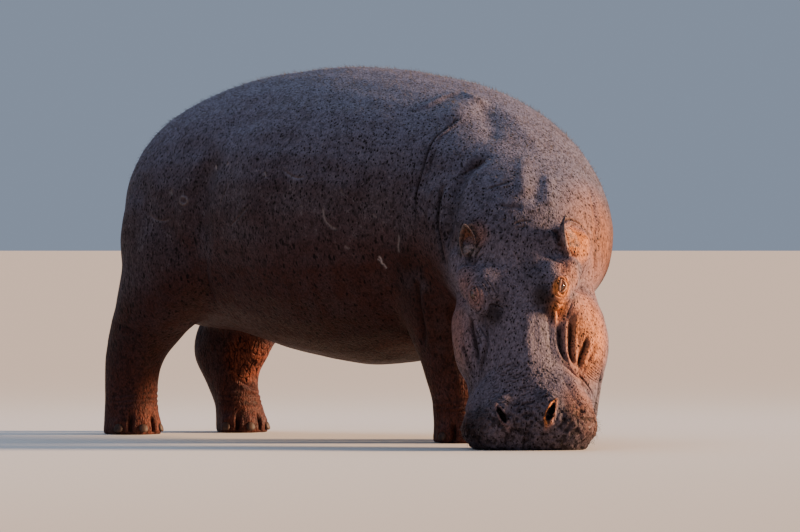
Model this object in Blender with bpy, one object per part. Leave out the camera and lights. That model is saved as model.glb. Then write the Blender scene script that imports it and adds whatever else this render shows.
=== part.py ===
"""A life-size hippopotamus that grazes with its head down and turned to its right.

Blender 4.5, metres, +Z up. The hindquarters face +X and the animal's right side faces -Y.
The flesh is blocked out from lofts and ellipsoids, fused by a voxel remesh and relaxed, then
levelled where it meets the floor and parted by thin cuts into the pieces a person would name.
"""

import math
from collections import namedtuple

import bmesh
import bpy
from mathutils import Euler, Matrix, Vector

# How finely the forms are made, and the clearance between pieces that touch
RING_POINTS = 32
BALL_CUTS = (24, 16)
EYE_CUTS = (12, 8)
NAIL_CUTS = (6, 4)
STEPS_BETWEEN = 3
FUSE_VOXEL = 0.013
RELAX_ROUNDS = 7
FLESH_TRIANGLES = 4000
GAP = 0.0003
SHARP_ABOVE = 50   # degrees between faces

# One ring of the barrel and neck: its centre, its turn to the right and downward pitch in
# degrees, then half its width, its rise above and its drop below the centre.
Ring = namedtuple("Ring", "x y z turn pitch half rise drop")
SPINE = [
    Ring(-0.43, 0, 0.88, 0, 0, 0.12, 0.11, 0.16),
    Ring(-0.39, 0, 0.89, 0, 0, 0.25, 0.23, 0.33),
    Ring(-0.29, 0, 0.90, 0, 0, 0.38, 0.36, 0.44),
    Ring(-0.12, 0, 0.90, 0, 0, 0.47, 0.46, 0.47),
    Ring(0.12, 0, 0.90, 1, 0, 0.53, 0.54, 0.50),
    Ring(0.38, -0.01, 0.90, 3, 0, 0.60, 0.575, 0.565),
    Ring(0.64, -0.03, 0.90, 6, 0, 0.645, 0.585, 0.605),
    Ring(0.88, -0.06, 0.90, 9, 0, 0.63, 0.565, 0.60),
    Ring(1.09, -0.10, 0.90, 13, 0, 0.59, 0.53, 0.55),
    Ring(1.27, -0.15, 0.88, 18, 6, 0.52, 0.49, 0.48),
    Ring(1.41, -0.215, 0.83, 27, 16, 0.465, 0.45, 0.45),
    Ring(1.52, -0.295, 0.77, 38, 28, 0.425, 0.41, 0.44),
    Ring(1.61, -0.38, 0.74, 48, 38, 0.37, 0.36, 0.39),
    Ring(1.69, -0.48, 0.68, 57, 48, 0.31, 0.28, 0.34),
    Ring(1.74, -0.56, 0.60, 62, 55, 0.24, 0.20, 0.28),
]

# The head has its own frame: along from the poll to the muzzle, side to its left, up out of
# the forehead. Each slice gives the half width and the highest and lowest point.
HEAD_AT = Vector((1.793, -0.661, 0.818))
HEAD_TURN = 61.5
HEAD_PITCH = 64.5
HEAD_TILT = 5.5
Slice = namedtuple("Slice", "along half top bottom")
CRANIUM = [
    Slice(-0.12, 0.12, -0.08, -0.26),
    Slice(-0.06, 0.18, -0.03, -0.32),
    Slice(0.02, 0.195, -0.01, -0.34),
    Slice(0.12, 0.190, 0.00, -0.34),
    Slice(0.24, 0.165, -0.005, -0.34),
    Slice(0.36, 0.140, -0.015, -0.32),
    Slice(0.48, 0.130, -0.025, -0.30),
    Slice(0.60, 0.150, -0.030, -0.28),
    Slice(0.70, 0.190, -0.030, -0.27),
    Slice(0.78, 0.190, -0.045, -0.26),
    Slice(0.83, 0.150, -0.080, -0.22),
]
JAW = [
    Slice(-0.06, 0.16, -0.14, -0.34),
    Slice(0.02, 0.22, -0.11, -0.40),
    Slice(0.14, 0.265, -0.09, -0.44),
    Slice(0.28, 0.290, -0.10, -0.46),
    Slice(0.40, 0.290, -0.12, -0.44),
    Slice(0.52, 0.272, -0.14, -0.40),
    Slice(0.62, 0.255, -0.16, -0.37),
    Slice(0.72, 0.235, -0.18, -0.34),
    Slice(0.79, 0.190, -0.20, -0.31),
]
MUZZLE = [
    Slice(0.52, 0.15, -0.07, -0.24),
    Slice(0.58, 0.20, -0.05, -0.28),
    Slice(0.66, 0.240, -0.035, -0.30),
    Slice(0.74, 0.255, -0.04, -0.31),
    Slice(0.80, 0.245, -0.055, -0.30),
    Slice(0.84, 0.215, -0.08, -0.28),
    Slice(0.87, 0.15, -0.12, -0.24),
]
SKULL_FORMS = {"cranium": (CRANIUM, 0.80), "jaw": (JAW, 0.85), "muzzle": (MUZZLE, 0.75)}

# Lumps of the head: along, side, up, then the three radii. All but the chin come in pairs.
Lump = namedtuple("Lump", "along side up long wide tall")
HEAD_LUMPS = {
    "orbit": Lump(0.225, 0.130, -0.030, 0.100, 0.074, 0.058),
    "brow": Lump(0.165, 0.185, -0.060, 0.070, 0.050, 0.060),
    "ear_root": Lump(0.020, 0.170, -0.070, 0.065, 0.055, 0.070),
    "temple_pad": Lump(0.050, 0.215, -0.120, 0.090, 0.060, 0.080),
    "cheek": Lump(0.360, 0.215, -0.240, 0.210, 0.090, 0.150),
    "nostril": Lump(0.735, 0.088, -0.036, 0.080, 0.062, 0.044),
    "lip_lobe": Lump(0.755, 0.135, -0.135, 0.105, 0.128, 0.120),
    "chin": Lump(0.700, 0.0, -0.290, 0.100, 0.160, 0.060),
}
EYE = Lump(0.243, 0.160, 0.006, 0.026, 0.026, 0.026)

# An ear leans out from upright and its cup faces a number of degrees outward from straight
# ahead. Each fold of the cup gives its height, its radius and half the angle it closes.
Ear = namedtuple("Ear", "side lean face")
EARS = {"ear_right": Ear(-1, 8, 25), "ear_left": Ear(1, 4, 80)}
EAR_ROOT = (0.035, 0.180, -0.030)
EAR_THICKNESS = 0.007
EAR_HOLLOW_LEAST = 0.25   # of the radius, where the ear is too small for its full thickness
Fold = namedtuple("Fold", "height radius closes")
EAR_CUP = [
    Fold(-0.030, 0.024, 118),
    Fold(0.010, 0.028, 116),
    Fold(0.040, 0.034, 108),
    Fold(0.070, 0.035, 96),
    Fold(0.095, 0.028, 84),
    Fold(0.112, 0.017, 74),
    Fold(0.122, 0.008, 60),
]
EAR_POINTS = 7

# One ring of a leg: place in the body's frame, half length fore and aft, half width.
Joint = namedtuple("Joint", "x y z fore half")
Leg = namedtuple("Leg", "turn parts_at joints")
LEGS = {
    "leg_hind_right": Leg(4, 0.60, [
        Joint(0.02, -0.26, 1.02, 0.24, 0.13),
        Joint(0.00, -0.30, 0.84, 0.31, 0.20),
        Joint(-0.04, -0.31, 0.66, 0.30, 0.20),
        Joint(-0.15, -0.30, 0.52, 0.225, 0.17),
        Joint(-0.26, -0.285, 0.41, 0.165, 0.135),
        Joint(-0.330, -0.28, 0.30, 0.125, 0.110),
        Joint(-0.345, -0.28, 0.20, 0.108, 0.100),
        Joint(-0.345, -0.28, 0.10, 0.110, 0.105),
        Joint(-0.345, -0.28, 0.0, 0.115, 0.112),
    ]),
    "leg_hind_left": Leg(4, 0.60, [
        Joint(0.04, 0.26, 1.02, 0.24, 0.13),
        Joint(0.05, 0.30, 0.84, 0.31, 0.20),
        Joint(0.03, 0.29, 0.66, 0.29, 0.20),
        Joint(-0.07, 0.25, 0.52, 0.25, 0.165),
        Joint(-0.155, 0.20, 0.40, 0.205, 0.130),
        Joint(-0.190, 0.18, 0.31, 0.165, 0.110),
        Joint(-0.180, 0.17, 0.20, 0.122, 0.100),
        Joint(-0.145, 0.165, 0.10, 0.115, 0.105),
        Joint(-0.130, 0.16, 0.0, 0.115, 0.112),
    ]),
    "leg_fore_right": Leg(22, 0.56, [
        Joint(1.27, -0.42, 1.00, 0.20, 0.15),
        Joint(1.26, -0.43, 0.80, 0.21, 0.16),
        Joint(1.25, -0.42, 0.60, 0.19, 0.15),
        Joint(1.26, -0.38, 0.44, 0.145, 0.125),
        Joint(1.28, -0.34, 0.30, 0.120, 0.115),
        Joint(1.30, -0.32, 0.18, 0.110, 0.106),
        Joint(1.31, -0.31, 0.08, 0.115, 0.112),
        Joint(1.31, -0.31, 0.0, 0.118, 0.115),
    ]),
    "leg_fore_left": Leg(18, 0.56, [
        Joint(1.40, 0.13, 1.00, 0.20, 0.15),
        Joint(1.42, 0.14, 0.80, 0.21, 0.16),
        Joint(1.42, 0.13, 0.60, 0.19, 0.15),
        Joint(1.42, 0.12, 0.44, 0.145, 0.125),
        Joint(1.43, 0.11, 0.30, 0.120, 0.115),
        Joint(1.44, 0.10, 0.18, 0.110, 0.106),
        Joint(1.45, 0.10, 0.08, 0.115, 0.112),
        Joint(1.45, 0.10, 0.0, 0.118, 0.115),
    ]),
}
SOLE_OVERRUN = 0.04
SLEEVE = 0.055
SLEEVE_DOME = 0.10
SLEEVE_DOME_ANGLES = (75, 40)
SLEEVE_POINTS = 10
LEG_SQUARENESS = 0.95

# Four toes spread over the front of each foot, each with a blunt nail. Radii run outward,
# around the foot and up.
TOE_ANGLES = (-74, -25, 25, 74)
TOE_REACH = 0.078
TOE_HEIGHT = 0.026
TOE = (0.056, 0.046, 0.060)
NAIL_REACH = 0.124
NAIL_HEIGHT = 0.027
NAIL = (0.013, 0.024, 0.021)

# Muscle masses of the body: centre, radii and tilt in degrees about each axis.
Mass = namedtuple("Mass", "centre radii tilt")
MASSES = {
    "shoulder_right": Mass((1.27, -0.42, 0.88), (0.20, 0.15, 0.34), (0, 0, -22)),
    "shoulder_left": Mass((1.44, 0.11, 0.84), (0.20, 0.14, 0.30), (0, 0, -22)),
    "shoulder_blade_right": Mass((1.29, -0.31, 1.235), (0.17, 0.13, 0.10), (0, 14, -30)),
    "haunch_right": Mass((-0.06, -0.31, 0.80), (0.29, 0.18, 0.34), (0, 12, 0)),
    "haunch_left": Mass((-0.02, 0.31, 0.80), (0.29, 0.18, 0.34), (0, 12, 0)),
}

# The tail hangs close behind the rump and thins sideways towards its tip.
TAIL_POINTS = 10
TAIL = [
    Joint(-0.36, 0, 0.93, 0.036, 0.050),
    Joint(-0.425, 0, 0.85, 0.045, 0.056),
    Joint(-0.462, 0, 0.76, 0.042, 0.048),
    Joint(-0.474, 0, 0.66, 0.036, 0.036),
    Joint(-0.468, 0, 0.57, 0.031, 0.024),
    Joint(-0.458, 0, 0.50, 0.026, 0.014),
    Joint(-0.452, 0, 0.465, 0.014, 0.008),
]

# Where the head and the neck are parted: the block that each is cut out of the whole by, and
# the way that the block faces.
NAPE_AT = HEAD_AT
NAPE_TURN = 56.0
NAPE_PITCH = 54.0
HEAD_BLOCK = ((-0.08, -0.42, -0.60), (1.20, 0.42, 0.50))
NECK_AT = Vector((1.43, -0.22, 0.82))
NECK_TURN = 30.0
NECK_PITCH = 16.0
NECK_BLOCK = ((0.0, -0.90, -0.90), (1.20, 0.90, 0.90))
FLOOR_BLOCK = ((-3.0, -3.0, -0.50), (3.0, 3.0, 0.0))

# Base colour, roughness and metallic value of each kind of piece.
SKIN = ((0.085, 0.060, 0.062), 0.62, 0.0)
LEG_SKIN = ((0.100, 0.052, 0.040), 0.66, 0.0)
EAR_SKIN = ((0.150, 0.075, 0.055), 0.66, 0.0)
EYE_GLOSS = ((0.060, 0.030, 0.015), 0.10, 0.0)
NAIL_HORN = ((0.060, 0.048, 0.042), 0.45, 0.0)


def clear_scene():
    for obj in list(bpy.data.objects):
        bpy.data.objects.remove(obj)


def object_from(bm, name):
    """An object of flat triangles, so that a piece and the seat cut for it match everywhere."""
    mesh = bpy.data.meshes.new(name)
    bmesh.ops.recalc_face_normals(bm, faces=bm.faces)
    bmesh.ops.triangulate(bm, faces=bm.faces)
    bm.to_mesh(mesh)
    bm.free()
    obj = bpy.data.objects.new(name, mesh)
    bpy.context.scene.collection.objects.link(obj)
    return obj


def between(rows):
    """Rows with smooth rows added between them, each field along a Catmull-Rom curve."""
    ends = [rows[0], *rows, rows[-1]]
    filled = []
    for four in zip(ends, ends[1:], ends[2:], ends[3:]):
        for k in range(STEPS_BETWEEN):
            t = k / STEPS_BETWEEN
            values = []
            for p, q, r, s in zip(*four):
                bend = (2 * p - 5 * q + 4 * r - s) * t**2 + (3 * q - p - 3 * r + s) * t**3
                values.append(0.5 * (2 * q + (r - p) * t + bend))
            filled.append(type(rows[0])(*values))
    return [*filled, rows[-1]]


def loft(name, rings):
    """A closed tube through rings of points, with a point at the middle of each end."""
    bm = bmesh.new()
    loops = [[bm.verts.new(point) for point in ring] for ring in rings]
    for first, second in zip(loops, loops[1:]):
        for k in range(len(first)):
            after = (k + 1) % len(first)
            bm.faces.new((first[k], first[after], second[after], second[k]))
    for loop in (loops[0], loops[-1]):
        tip = bm.verts.new(sum((v.co for v in loop), Vector()) / len(loop))
        for k in range(len(loop)):
            bm.faces.new((loop[k], loop[(k + 1) % len(loop)], tip))
    return object_from(bm, name)


def oval(centre, side, up, half, rise, drop, square=1.0, count=RING_POINTS):
    """Points round an oval whose upper and lower halves differ. Under 1, square fills its corners."""
    points = []
    for k in range(count):
        angle = 2 * math.pi * k / count
        c, s = math.cos(angle), math.sin(angle)
        across = half * math.copysign(abs(c) ** square, c)
        height = (rise if s > 0 else drop) * math.copysign(abs(s) ** square, s)
        points.append(centre + side * across + up * height)
    return points


def heading(turn, pitch):
    """The unit vector that points ahead after a turn to the right and a pitch downwards."""
    t, p = math.radians(turn), math.radians(pitch)
    return Vector((math.cos(t) * math.cos(p), -math.sin(t) * math.cos(p), -math.sin(p)))


def frame_at(origin, turn, pitch, tilt=0.0):
    """The matrix of a frame whose axes point ahead, to the left and up."""
    ahead = heading(turn, pitch)
    side = Vector((0, 0, 1)).cross(ahead).normalized()
    axes = Matrix((ahead, side, ahead.cross(side))).transposed()
    lean = Matrix.Rotation(math.radians(tilt), 3, heading(turn, 0))
    return Matrix.Translation(origin) @ (lean @ axes).to_4x4()


def head_frame():
    return frame_at(HEAD_AT, HEAD_TURN, HEAD_PITCH, HEAD_TILT)


def block(name, corners, frame):
    low, high = (Vector(corner) for corner in corners)
    bm = bmesh.new()
    bmesh.ops.create_cube(bm, size=1.0)
    place = Matrix.Translation((low + high) / 2) @ Matrix.Diagonal((*(high - low), 1))
    bmesh.ops.transform(bm, matrix=frame @ place, verts=bm.verts)
    return object_from(bm, name)


def ellipsoid(name, frame, centre, radii, turned=(0, 0, 0), cuts=BALL_CUTS):
    bm = bmesh.new()
    bmesh.ops.create_uvsphere(bm, u_segments=cuts[0], v_segments=cuts[1], radius=1.0)
    place = Matrix.Translation(centre) @ Euler([math.radians(a) for a in turned]).to_matrix().to_4x4()
    bmesh.ops.transform(bm, matrix=frame @ place @ Matrix.Diagonal((*radii, 1)), verts=bm.verts)
    return object_from(bm, name)


def torso():
    rings = []
    for ring in between(SPINE):
        frame = frame_at((ring.x, ring.y, ring.z), ring.turn, ring.pitch)
        side, up = frame.col[1].xyz, frame.col[2].xyz
        rings.append(oval(frame.translation, side, up, ring.half, ring.rise, ring.drop))
    return loft("torso", rings)


def head_forms():
    frame = head_frame()
    forms = []
    for name, (slices, square) in SKULL_FORMS.items():
        rings = []
        for cut in between(slices):
            tall = (cut.top - cut.bottom) / 2
            centre = Vector((cut.along, 0, cut.bottom + tall))
            ring = oval(centre, Vector((0, 1, 0)), Vector((0, 0, 1)), cut.half, tall, tall, square)
            rings.append([frame @ point for point in ring])
        forms.append(loft(name, rings))
    for name, lump in HEAD_LUMPS.items():
        for mirror in (1, -1) if lump.side else (1,):
            centre = (lump.along, lump.side * mirror, lump.up)
            forms.append(ellipsoid(name, frame, centre, (lump.long, lump.wide, lump.tall)))
    return forms


def leg_ring(leg, joint, grow=0.0, scale=1.0, rise=0.0, count=RING_POINTS):
    frame = frame_at((joint.x, joint.y, joint.z + rise), leg.turn, 0)
    half, fore = (joint.half + grow) * scale, (joint.fore + grow) * scale
    side, ahead = frame.col[1].xyz, frame.col[0].xyz
    return oval(frame.translation, side, ahead, half, fore, fore, LEG_SQUARENESS, count)


def leg_form(name, leg):
    """A leg that runs on below the floor, so that levelling leaves it a flat sole."""
    joints = between(leg.joints)
    rings = [leg_ring(leg, joint) for joint in joints]
    rings.append(leg_ring(leg, joints[-1], rise=-SOLE_OVERRUN))
    return loft(name, rings)


def leg_sleeve(name, leg):
    """A loose sleeve with a domed top, round the part of a leg that stands clear of the trunk."""
    def ring(joint, scale=1.0, rise=0.0):
        return leg_ring(leg, joint, SLEEVE, scale, rise, SLEEVE_POINTS)

    joints = [joint for joint in leg.joints if joint.z <= leg.parts_at]
    angles = [math.radians(degrees) for degrees in SLEEVE_DOME_ANGLES]
    rings = [ring(joints[0], math.cos(a), SLEEVE_DOME * math.sin(a)) for a in angles]
    rings += [ring(joint) for joint in joints]
    rings.append(ring(joints[-1], rise=-2 * SOLE_OVERRUN))
    return loft(name, rings)


def round_foot(leg, reach, height):
    """A frame at each toe of a foot, with its first axis pointing outward."""
    foot = leg.joints[-1]
    for angle in TOE_ANGLES:
        out = heading(leg.turn + angle, 0)
        yield frame_at(Vector((foot.x, foot.y, height)) + out * reach, leg.turn + angle, 0)


def toes(leg):
    return [ellipsoid("toe", frame, (0, 0, 0), TOE) for frame in round_foot(leg, TOE_REACH, TOE_HEIGHT)]


def nails(name, leg):
    place = name.replace("leg_", "")
    made = []
    for count, frame in enumerate(round_foot(leg, NAIL_REACH, NAIL_HEIGHT), start=1):
        made.append(ellipsoid(f"nail_{place}_{count}", frame, (0, 0, 0), NAIL, cuts=NAIL_CUTS))
    return made


def masses():
    return [
        ellipsoid(name, Matrix(), mass.centre, mass.radii, mass.tilt)
        for name, mass in MASSES.items()
    ]


def tail():
    rings = []
    for joint in TAIL:
        centre = Vector((joint.x, joint.y, joint.z))
        side, ahead = Vector((0, 1, 0)), Vector((1, 0, 0))
        rings.append(oval(centre, side, ahead, joint.half, joint.fore, joint.fore, count=TAIL_POINTS))
    return loft("tail", rings)


def ear(name, shape):
    """A cupped leaf: each fold is an arc of shell, thick by EAR_THICKNESS, open to one side."""
    root = head_frame() @ Vector((EAR_ROOT[0], EAR_ROOT[1] * shape.side, EAR_ROOT[2]))
    faces = heading(HEAD_TURN - shape.face * shape.side, 0)
    outward = heading(HEAD_TURN - 90 * shape.side, 0)
    axis = (Vector((0, 0, 1)) + outward * math.tan(math.radians(shape.lean))).normalized()
    across = axis.cross(faces).normalized()
    back = across.cross(axis).normalized() * -1
    bm = bmesh.new()
    arcs = []
    for fold in EAR_CUP:
        centre = root + axis * fold.height
        shells = []
        for radius in (fold.radius, max(fold.radius - EAR_THICKNESS, EAR_HOLLOW_LEAST * fold.radius)):
            arc = []
            for k in range(EAR_POINTS):
                angle = math.radians(fold.closes) * (2 * k / (EAR_POINTS - 1) - 1)
                place = centre + (across * math.sin(angle) + back * math.cos(angle)) * radius
                arc.append(bm.verts.new(place))
            shells.append(arc)
        arcs.append(shells)
    for (outer, inner), (next_outer, next_inner) in zip(arcs, arcs[1:]):
        first = outer + inner[::-1]
        second = next_outer + next_inner[::-1]
        for k in range(len(first)):
            after = (k + 1) % len(first)
            bm.faces.new((first[k], first[after], second[after], second[k]))
    for outer, inner in (arcs[0], arcs[-1]):
        for k in range(EAR_POINTS - 1):
            bm.faces.new((outer[k], outer[k + 1], inner[k + 1], inner[k]))
    return object_from(bm, name)


def eye(name, mirror):
    centre = (EYE.along, EYE.side * mirror, EYE.up)
    return ellipsoid(name, head_frame(), centre, (EYE.long, EYE.wide, EYE.tall), cuts=EYE_CUTS)


def apply_modifiers(obj):
    """Gives an object the mesh that its modifiers make, and takes the modifiers away."""
    made = bpy.data.meshes.new_from_object(obj.evaluated_get(bpy.context.evaluated_depsgraph_get()))
    obj.modifiers.clear()
    obj.data = made


def fuse(forms):
    """Joins closed forms that overlap into one relaxed skin of few triangles."""
    bm = bmesh.new()
    for form in forms:
        bm.from_mesh(form.data)
        bpy.data.objects.remove(form)
    joined = object_from(bm, "trunk")
    remesh = joined.modifiers.new("fuse", "REMESH")
    remesh.mode = "VOXEL"
    remesh.voxel_size = FUSE_VOXEL
    relax = joined.modifiers.new("relax", "SMOOTH")
    relax.factor = 0.5
    relax.iterations = RELAX_ROUNDS
    apply_modifiers(joined)
    thin = joined.modifiers.new("thin", "DECIMATE")
    thin.use_collapse_triangulate = True
    joined.data.calc_loop_triangles()
    thin.ratio = FLESH_TRIANGLES / len(joined.data.loop_triangles)
    apply_modifiers(joined)
    return joined


def carve(obj, cutter, operation):
    boolean = obj.modifiers.new("carve", "BOOLEAN")
    boolean.object = cutter
    boolean.operation = operation
    apply_modifiers(obj)


def swollen(obj):
    """A copy of an object, larger by the gap on every side."""
    bm = bmesh.new()
    bm.from_mesh(obj.data)
    bm.normal_update()
    moves = [v.normal * GAP * v.calc_shell_factor() for v in bm.verts]
    for v, move in zip(bm.verts, moves):
        v.co += move
    return object_from(bm, "cutter")


def make_room(flesh, piece):
    """Cuts a seat for a piece out of the flesh."""
    cutter = swollen(piece)
    carve(flesh, cutter, "DIFFERENCE")
    bpy.data.objects.remove(cutter)


def part_off(flesh, name, region):
    """Takes what lies inside a region out of the flesh, as a piece of its own."""
    piece = flesh.copy()
    piece.data = flesh.data.copy()
    piece.name = name
    bpy.context.scene.collection.objects.link(piece)
    carve(piece, region, "INTERSECT")
    make_room(flesh, region)
    bpy.data.objects.remove(region)
    return piece


def level(flesh):
    """Cuts away what reaches below the floor."""
    floor = block("floor", FLOOR_BLOCK, Matrix())
    carve(flesh, floor, "DIFFERENCE")
    bpy.data.objects.remove(floor)


def paint(obj, finish):
    colour, roughness, metallic = finish
    material = bpy.data.materials.new(obj.name)
    material.use_nodes = True
    shader = material.node_tree.nodes["Principled BSDF"]
    shader.inputs["Base Color"].default_value = (*colour, 1)
    shader.inputs["Roughness"].default_value = roughness
    shader.inputs["Metallic"].default_value = metallic
    material.diffuse_color = (*colour, 1)
    obj.data.materials.clear()
    obj.data.materials.append(material)
    obj.data.shade_smooth()
    obj.data.set_sharp_from_angle(angle=math.radians(SHARP_ABOVE))


def stand_on_origin(pieces):
    """Parents the pieces to an empty that puts the middle of their footprint at the origin."""
    corners = [piece.matrix_world @ Vector(corner) for piece in pieces for corner in piece.bound_box]
    low = Vector(map(min, *corners))
    high = Vector(map(max, *corners))
    stance = bpy.data.objects.new("stance", None)
    bpy.context.scene.collection.objects.link(stance)
    stance.location = (-(low.x + high.x) / 2, -(low.y + high.y) / 2, 0)
    for piece in pieces:
        piece.parent = stance


def main():
    clear_scene()
    forms = [torso(), *head_forms(), *masses()]
    for name, leg in LEGS.items():
        forms += [leg_form(name, leg), *toes(leg)]
    trunk = fuse(forms)
    level(trunk)

    painted = {SKIN: [trunk], LEG_SKIN: [], EAR_SKIN: [], EYE_GLOSS: [], NAIL_HORN: []}
    for name, leg in LEGS.items():
        limb = part_off(trunk, name, leg_sleeve("sleeve", leg))
        painted[LEG_SKIN].append(limb)
        for nail in nails(name, leg):
            make_room(limb, nail)
            painted[NAIL_HORN].append(nail)

    nape_frame = frame_at(NAPE_AT, NAPE_TURN, NAPE_PITCH)
    head = part_off(trunk, "head", block("head_block", HEAD_BLOCK, nape_frame))
    for name, mirror in (("eye_right", -1), ("eye_left", 1)):
        painted[EYE_GLOSS].append(eye(name, mirror))
    for name, shape in EARS.items():
        painted[EAR_SKIN].append(ear(name, shape))
    for piece in painted[EYE_GLOSS] + painted[EAR_SKIN]:
        make_room(head, piece)

    neck_frame = frame_at(NECK_AT, NECK_TURN, NECK_PITCH)
    neck = part_off(trunk, "neck", block("neck_block", NECK_BLOCK, neck_frame))
    hanging = tail()
    make_room(trunk, hanging)
    painted[SKIN] += [head, neck, hanging]

    for finish, pieces in painted.items():
        for piece in pieces:
            paint(piece, finish)
    stand_on_origin([piece for pieces in painted.values() for piece in pieces])


main()
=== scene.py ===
import math
import time

import bmesh
import bpy
import numpy as np
from mathutils import Matrix, Vector
from mathutils.bvhtree import BVHTree


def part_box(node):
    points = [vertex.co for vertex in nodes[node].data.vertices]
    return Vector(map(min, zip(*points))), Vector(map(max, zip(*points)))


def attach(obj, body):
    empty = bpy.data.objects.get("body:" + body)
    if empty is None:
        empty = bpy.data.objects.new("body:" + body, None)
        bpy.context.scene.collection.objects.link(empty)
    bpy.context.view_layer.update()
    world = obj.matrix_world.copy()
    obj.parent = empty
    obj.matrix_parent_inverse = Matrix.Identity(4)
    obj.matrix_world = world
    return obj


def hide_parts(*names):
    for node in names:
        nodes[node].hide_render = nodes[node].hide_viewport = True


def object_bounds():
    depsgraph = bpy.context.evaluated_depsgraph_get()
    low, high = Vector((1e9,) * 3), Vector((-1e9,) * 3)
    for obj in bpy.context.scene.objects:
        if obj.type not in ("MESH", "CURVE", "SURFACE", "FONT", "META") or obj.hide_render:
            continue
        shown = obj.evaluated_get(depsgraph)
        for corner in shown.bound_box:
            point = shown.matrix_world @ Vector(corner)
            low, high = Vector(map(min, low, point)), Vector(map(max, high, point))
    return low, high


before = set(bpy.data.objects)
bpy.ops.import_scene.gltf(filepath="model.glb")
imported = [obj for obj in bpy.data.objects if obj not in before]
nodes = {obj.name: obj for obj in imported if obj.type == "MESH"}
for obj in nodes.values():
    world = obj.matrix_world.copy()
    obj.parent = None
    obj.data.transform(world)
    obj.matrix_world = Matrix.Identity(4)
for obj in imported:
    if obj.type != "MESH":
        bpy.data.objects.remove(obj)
solidLow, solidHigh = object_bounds()
startedAt = time.time()


def say(words):
    print(f"{time.time() - startedAt:6.1f} s  {words}")


# Places on the animal. Lengths are metres and angles are degrees, but for the folds and the relief.
headSet = dict(turn=61.5, pitch=64.5, tilt=5.5, eyeAlong=0.243, eyeUp=0.006)


def heading(turn, pitch):
    turn, pitch = math.radians(turn), math.radians(pitch)
    flat = math.cos(pitch)
    return Vector((math.cos(turn) * flat, -math.sin(turn) * flat, -math.sin(pitch)))


def middleOf(name):
    low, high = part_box(name)
    return (Vector(low) + Vector(high)) / 2


def headAxes():
    ahead = heading(headSet["turn"], headSet["pitch"])
    leftward = Vector((0, 0, 1)).cross(ahead).normalized()
    axes = Matrix((ahead, leftward, ahead.cross(leftward))).transposed()
    return Matrix.Rotation(math.radians(headSet["tilt"]), 3, heading(headSet["turn"], 0)) @ axes


headTurn = headAxes()
eyesMiddle = (middleOf("eye_left") + middleOf("eye_right")) / 2
headAt = eyesMiddle - headTurn @ Vector((headSet["eyeAlong"], 0, headSet["eyeUp"]))
headMatrix = np.array(headTurn)
floorMiddle = Vector(((solidLow.x + solidHigh.x) / 2, (solidLow.y + solidHigh.y) / 2, solidLow.z))


def headPoint(point):
    return headAt + headTurn @ Vector(point)


def headLocal(places):
    return (places - np.array(headAt)) @ headMatrix


def bodyPoint(point):
    return floorMiddle + Vector(point)


def farOff(gaps, radii):
    return np.sqrt(((gaps / np.array(radii)) ** 2).sum(1))


def eased(value, start, end):
    part = np.clip((value - start) / (end - start), 0.0, 1.0)
    return part * part * (3 - 2 * part)


# The skin: the flesh solids fused into one close net, relaxed, then worked like clay.
skinSet = dict(
    cell=0.0080, swell=0.0004,
    relaxRounds=40, relaxPull=0.5, headShare=0.22, footShare=0.35, tailShare=0.12,
    closeEyes=0.054, closeFolds=0.018, closeScars=0.010, swells=[(0.0, 0.16, 0.0035), (3.1, 0.06, 0.0014)],
)
fleshNames = [name for name in nodes if not name.startswith(("eye", "nail"))]


def meshFrom(bm, name):
    mesh = bpy.data.meshes.new(name)
    bm.to_mesh(mesh)
    bm.free()
    return mesh


def fleshTogether():
    bm = bmesh.new()
    for name in sorted(nodes):
        if not name.startswith(("ear", "nail")):
            bm.from_mesh(nodes[name].data)
    bmesh.ops.remove_doubles(bm, verts=bm.verts[:], dist=0.00001)
    bm.normal_update()
    for vert in bm.verts:
        vert.co += vert.normal * skinSet["swell"]
    return meshFrom(bm, "flesh")


def appliedMesh(obj):
    depsgraph = bpy.context.evaluated_depsgraph_get()
    return bpy.data.meshes.new_from_object(obj.evaluated_get(depsgraph))


def linked(name, mesh):
    obj = bpy.data.objects.new(name, mesh)
    bpy.context.scene.collection.objects.link(obj)
    return obj


def remeshed(mesh, cell):
    obj = linked("net", mesh)
    remesh = obj.modifiers.new("net", "REMESH")
    remesh.mode = "VOXEL"
    remesh.voxel_size = cell
    made = appliedMesh(obj)
    bpy.data.objects.remove(obj)
    return made


def largestPart(mesh):
    bm = bmesh.new()
    bm.from_mesh(mesh)
    bm.verts.ensure_lookup_table()
    seen = [False] * len(bm.verts)
    parts = []
    for first in bm.verts:
        if seen[first.index]:
            continue
        seen[first.index] = True
        stack, part = [first], [first]
        while stack:
            for edge in stack.pop().link_edges:
                for vert in edge.verts:
                    if not seen[vert.index]:
                        seen[vert.index] = True
                        stack.append(vert)
                        part.append(vert)
        parts.append(part)
    parts.sort(key=len)
    spare = [vert for part in parts[:-1] for vert in part]
    bmesh.ops.delete(bm, geom=spare, context="VERTS")
    bm.to_mesh(mesh)
    bm.free()
    return mesh


def placesOf(mesh):
    flat = np.empty(len(mesh.vertices) * 3)
    mesh.vertices.foreach_get("co", flat)
    return flat.reshape(-1, 3)


def normalsOf(mesh):
    flat = np.empty(len(mesh.vertices) * 3, dtype=np.float32)
    mesh.vertex_normals.foreach_get("vector", flat)
    return flat.reshape(-1, 3).astype(float)


def edgesOf(mesh):
    flat = np.empty(len(mesh.edges) * 2, dtype=np.int32)
    mesh.edges.foreach_get("vertices", flat)
    return flat.reshape(-1, 2)


def setPlaces(mesh, places):
    mesh.vertices.foreach_set("co", places.ravel())
    mesh.update()


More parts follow.
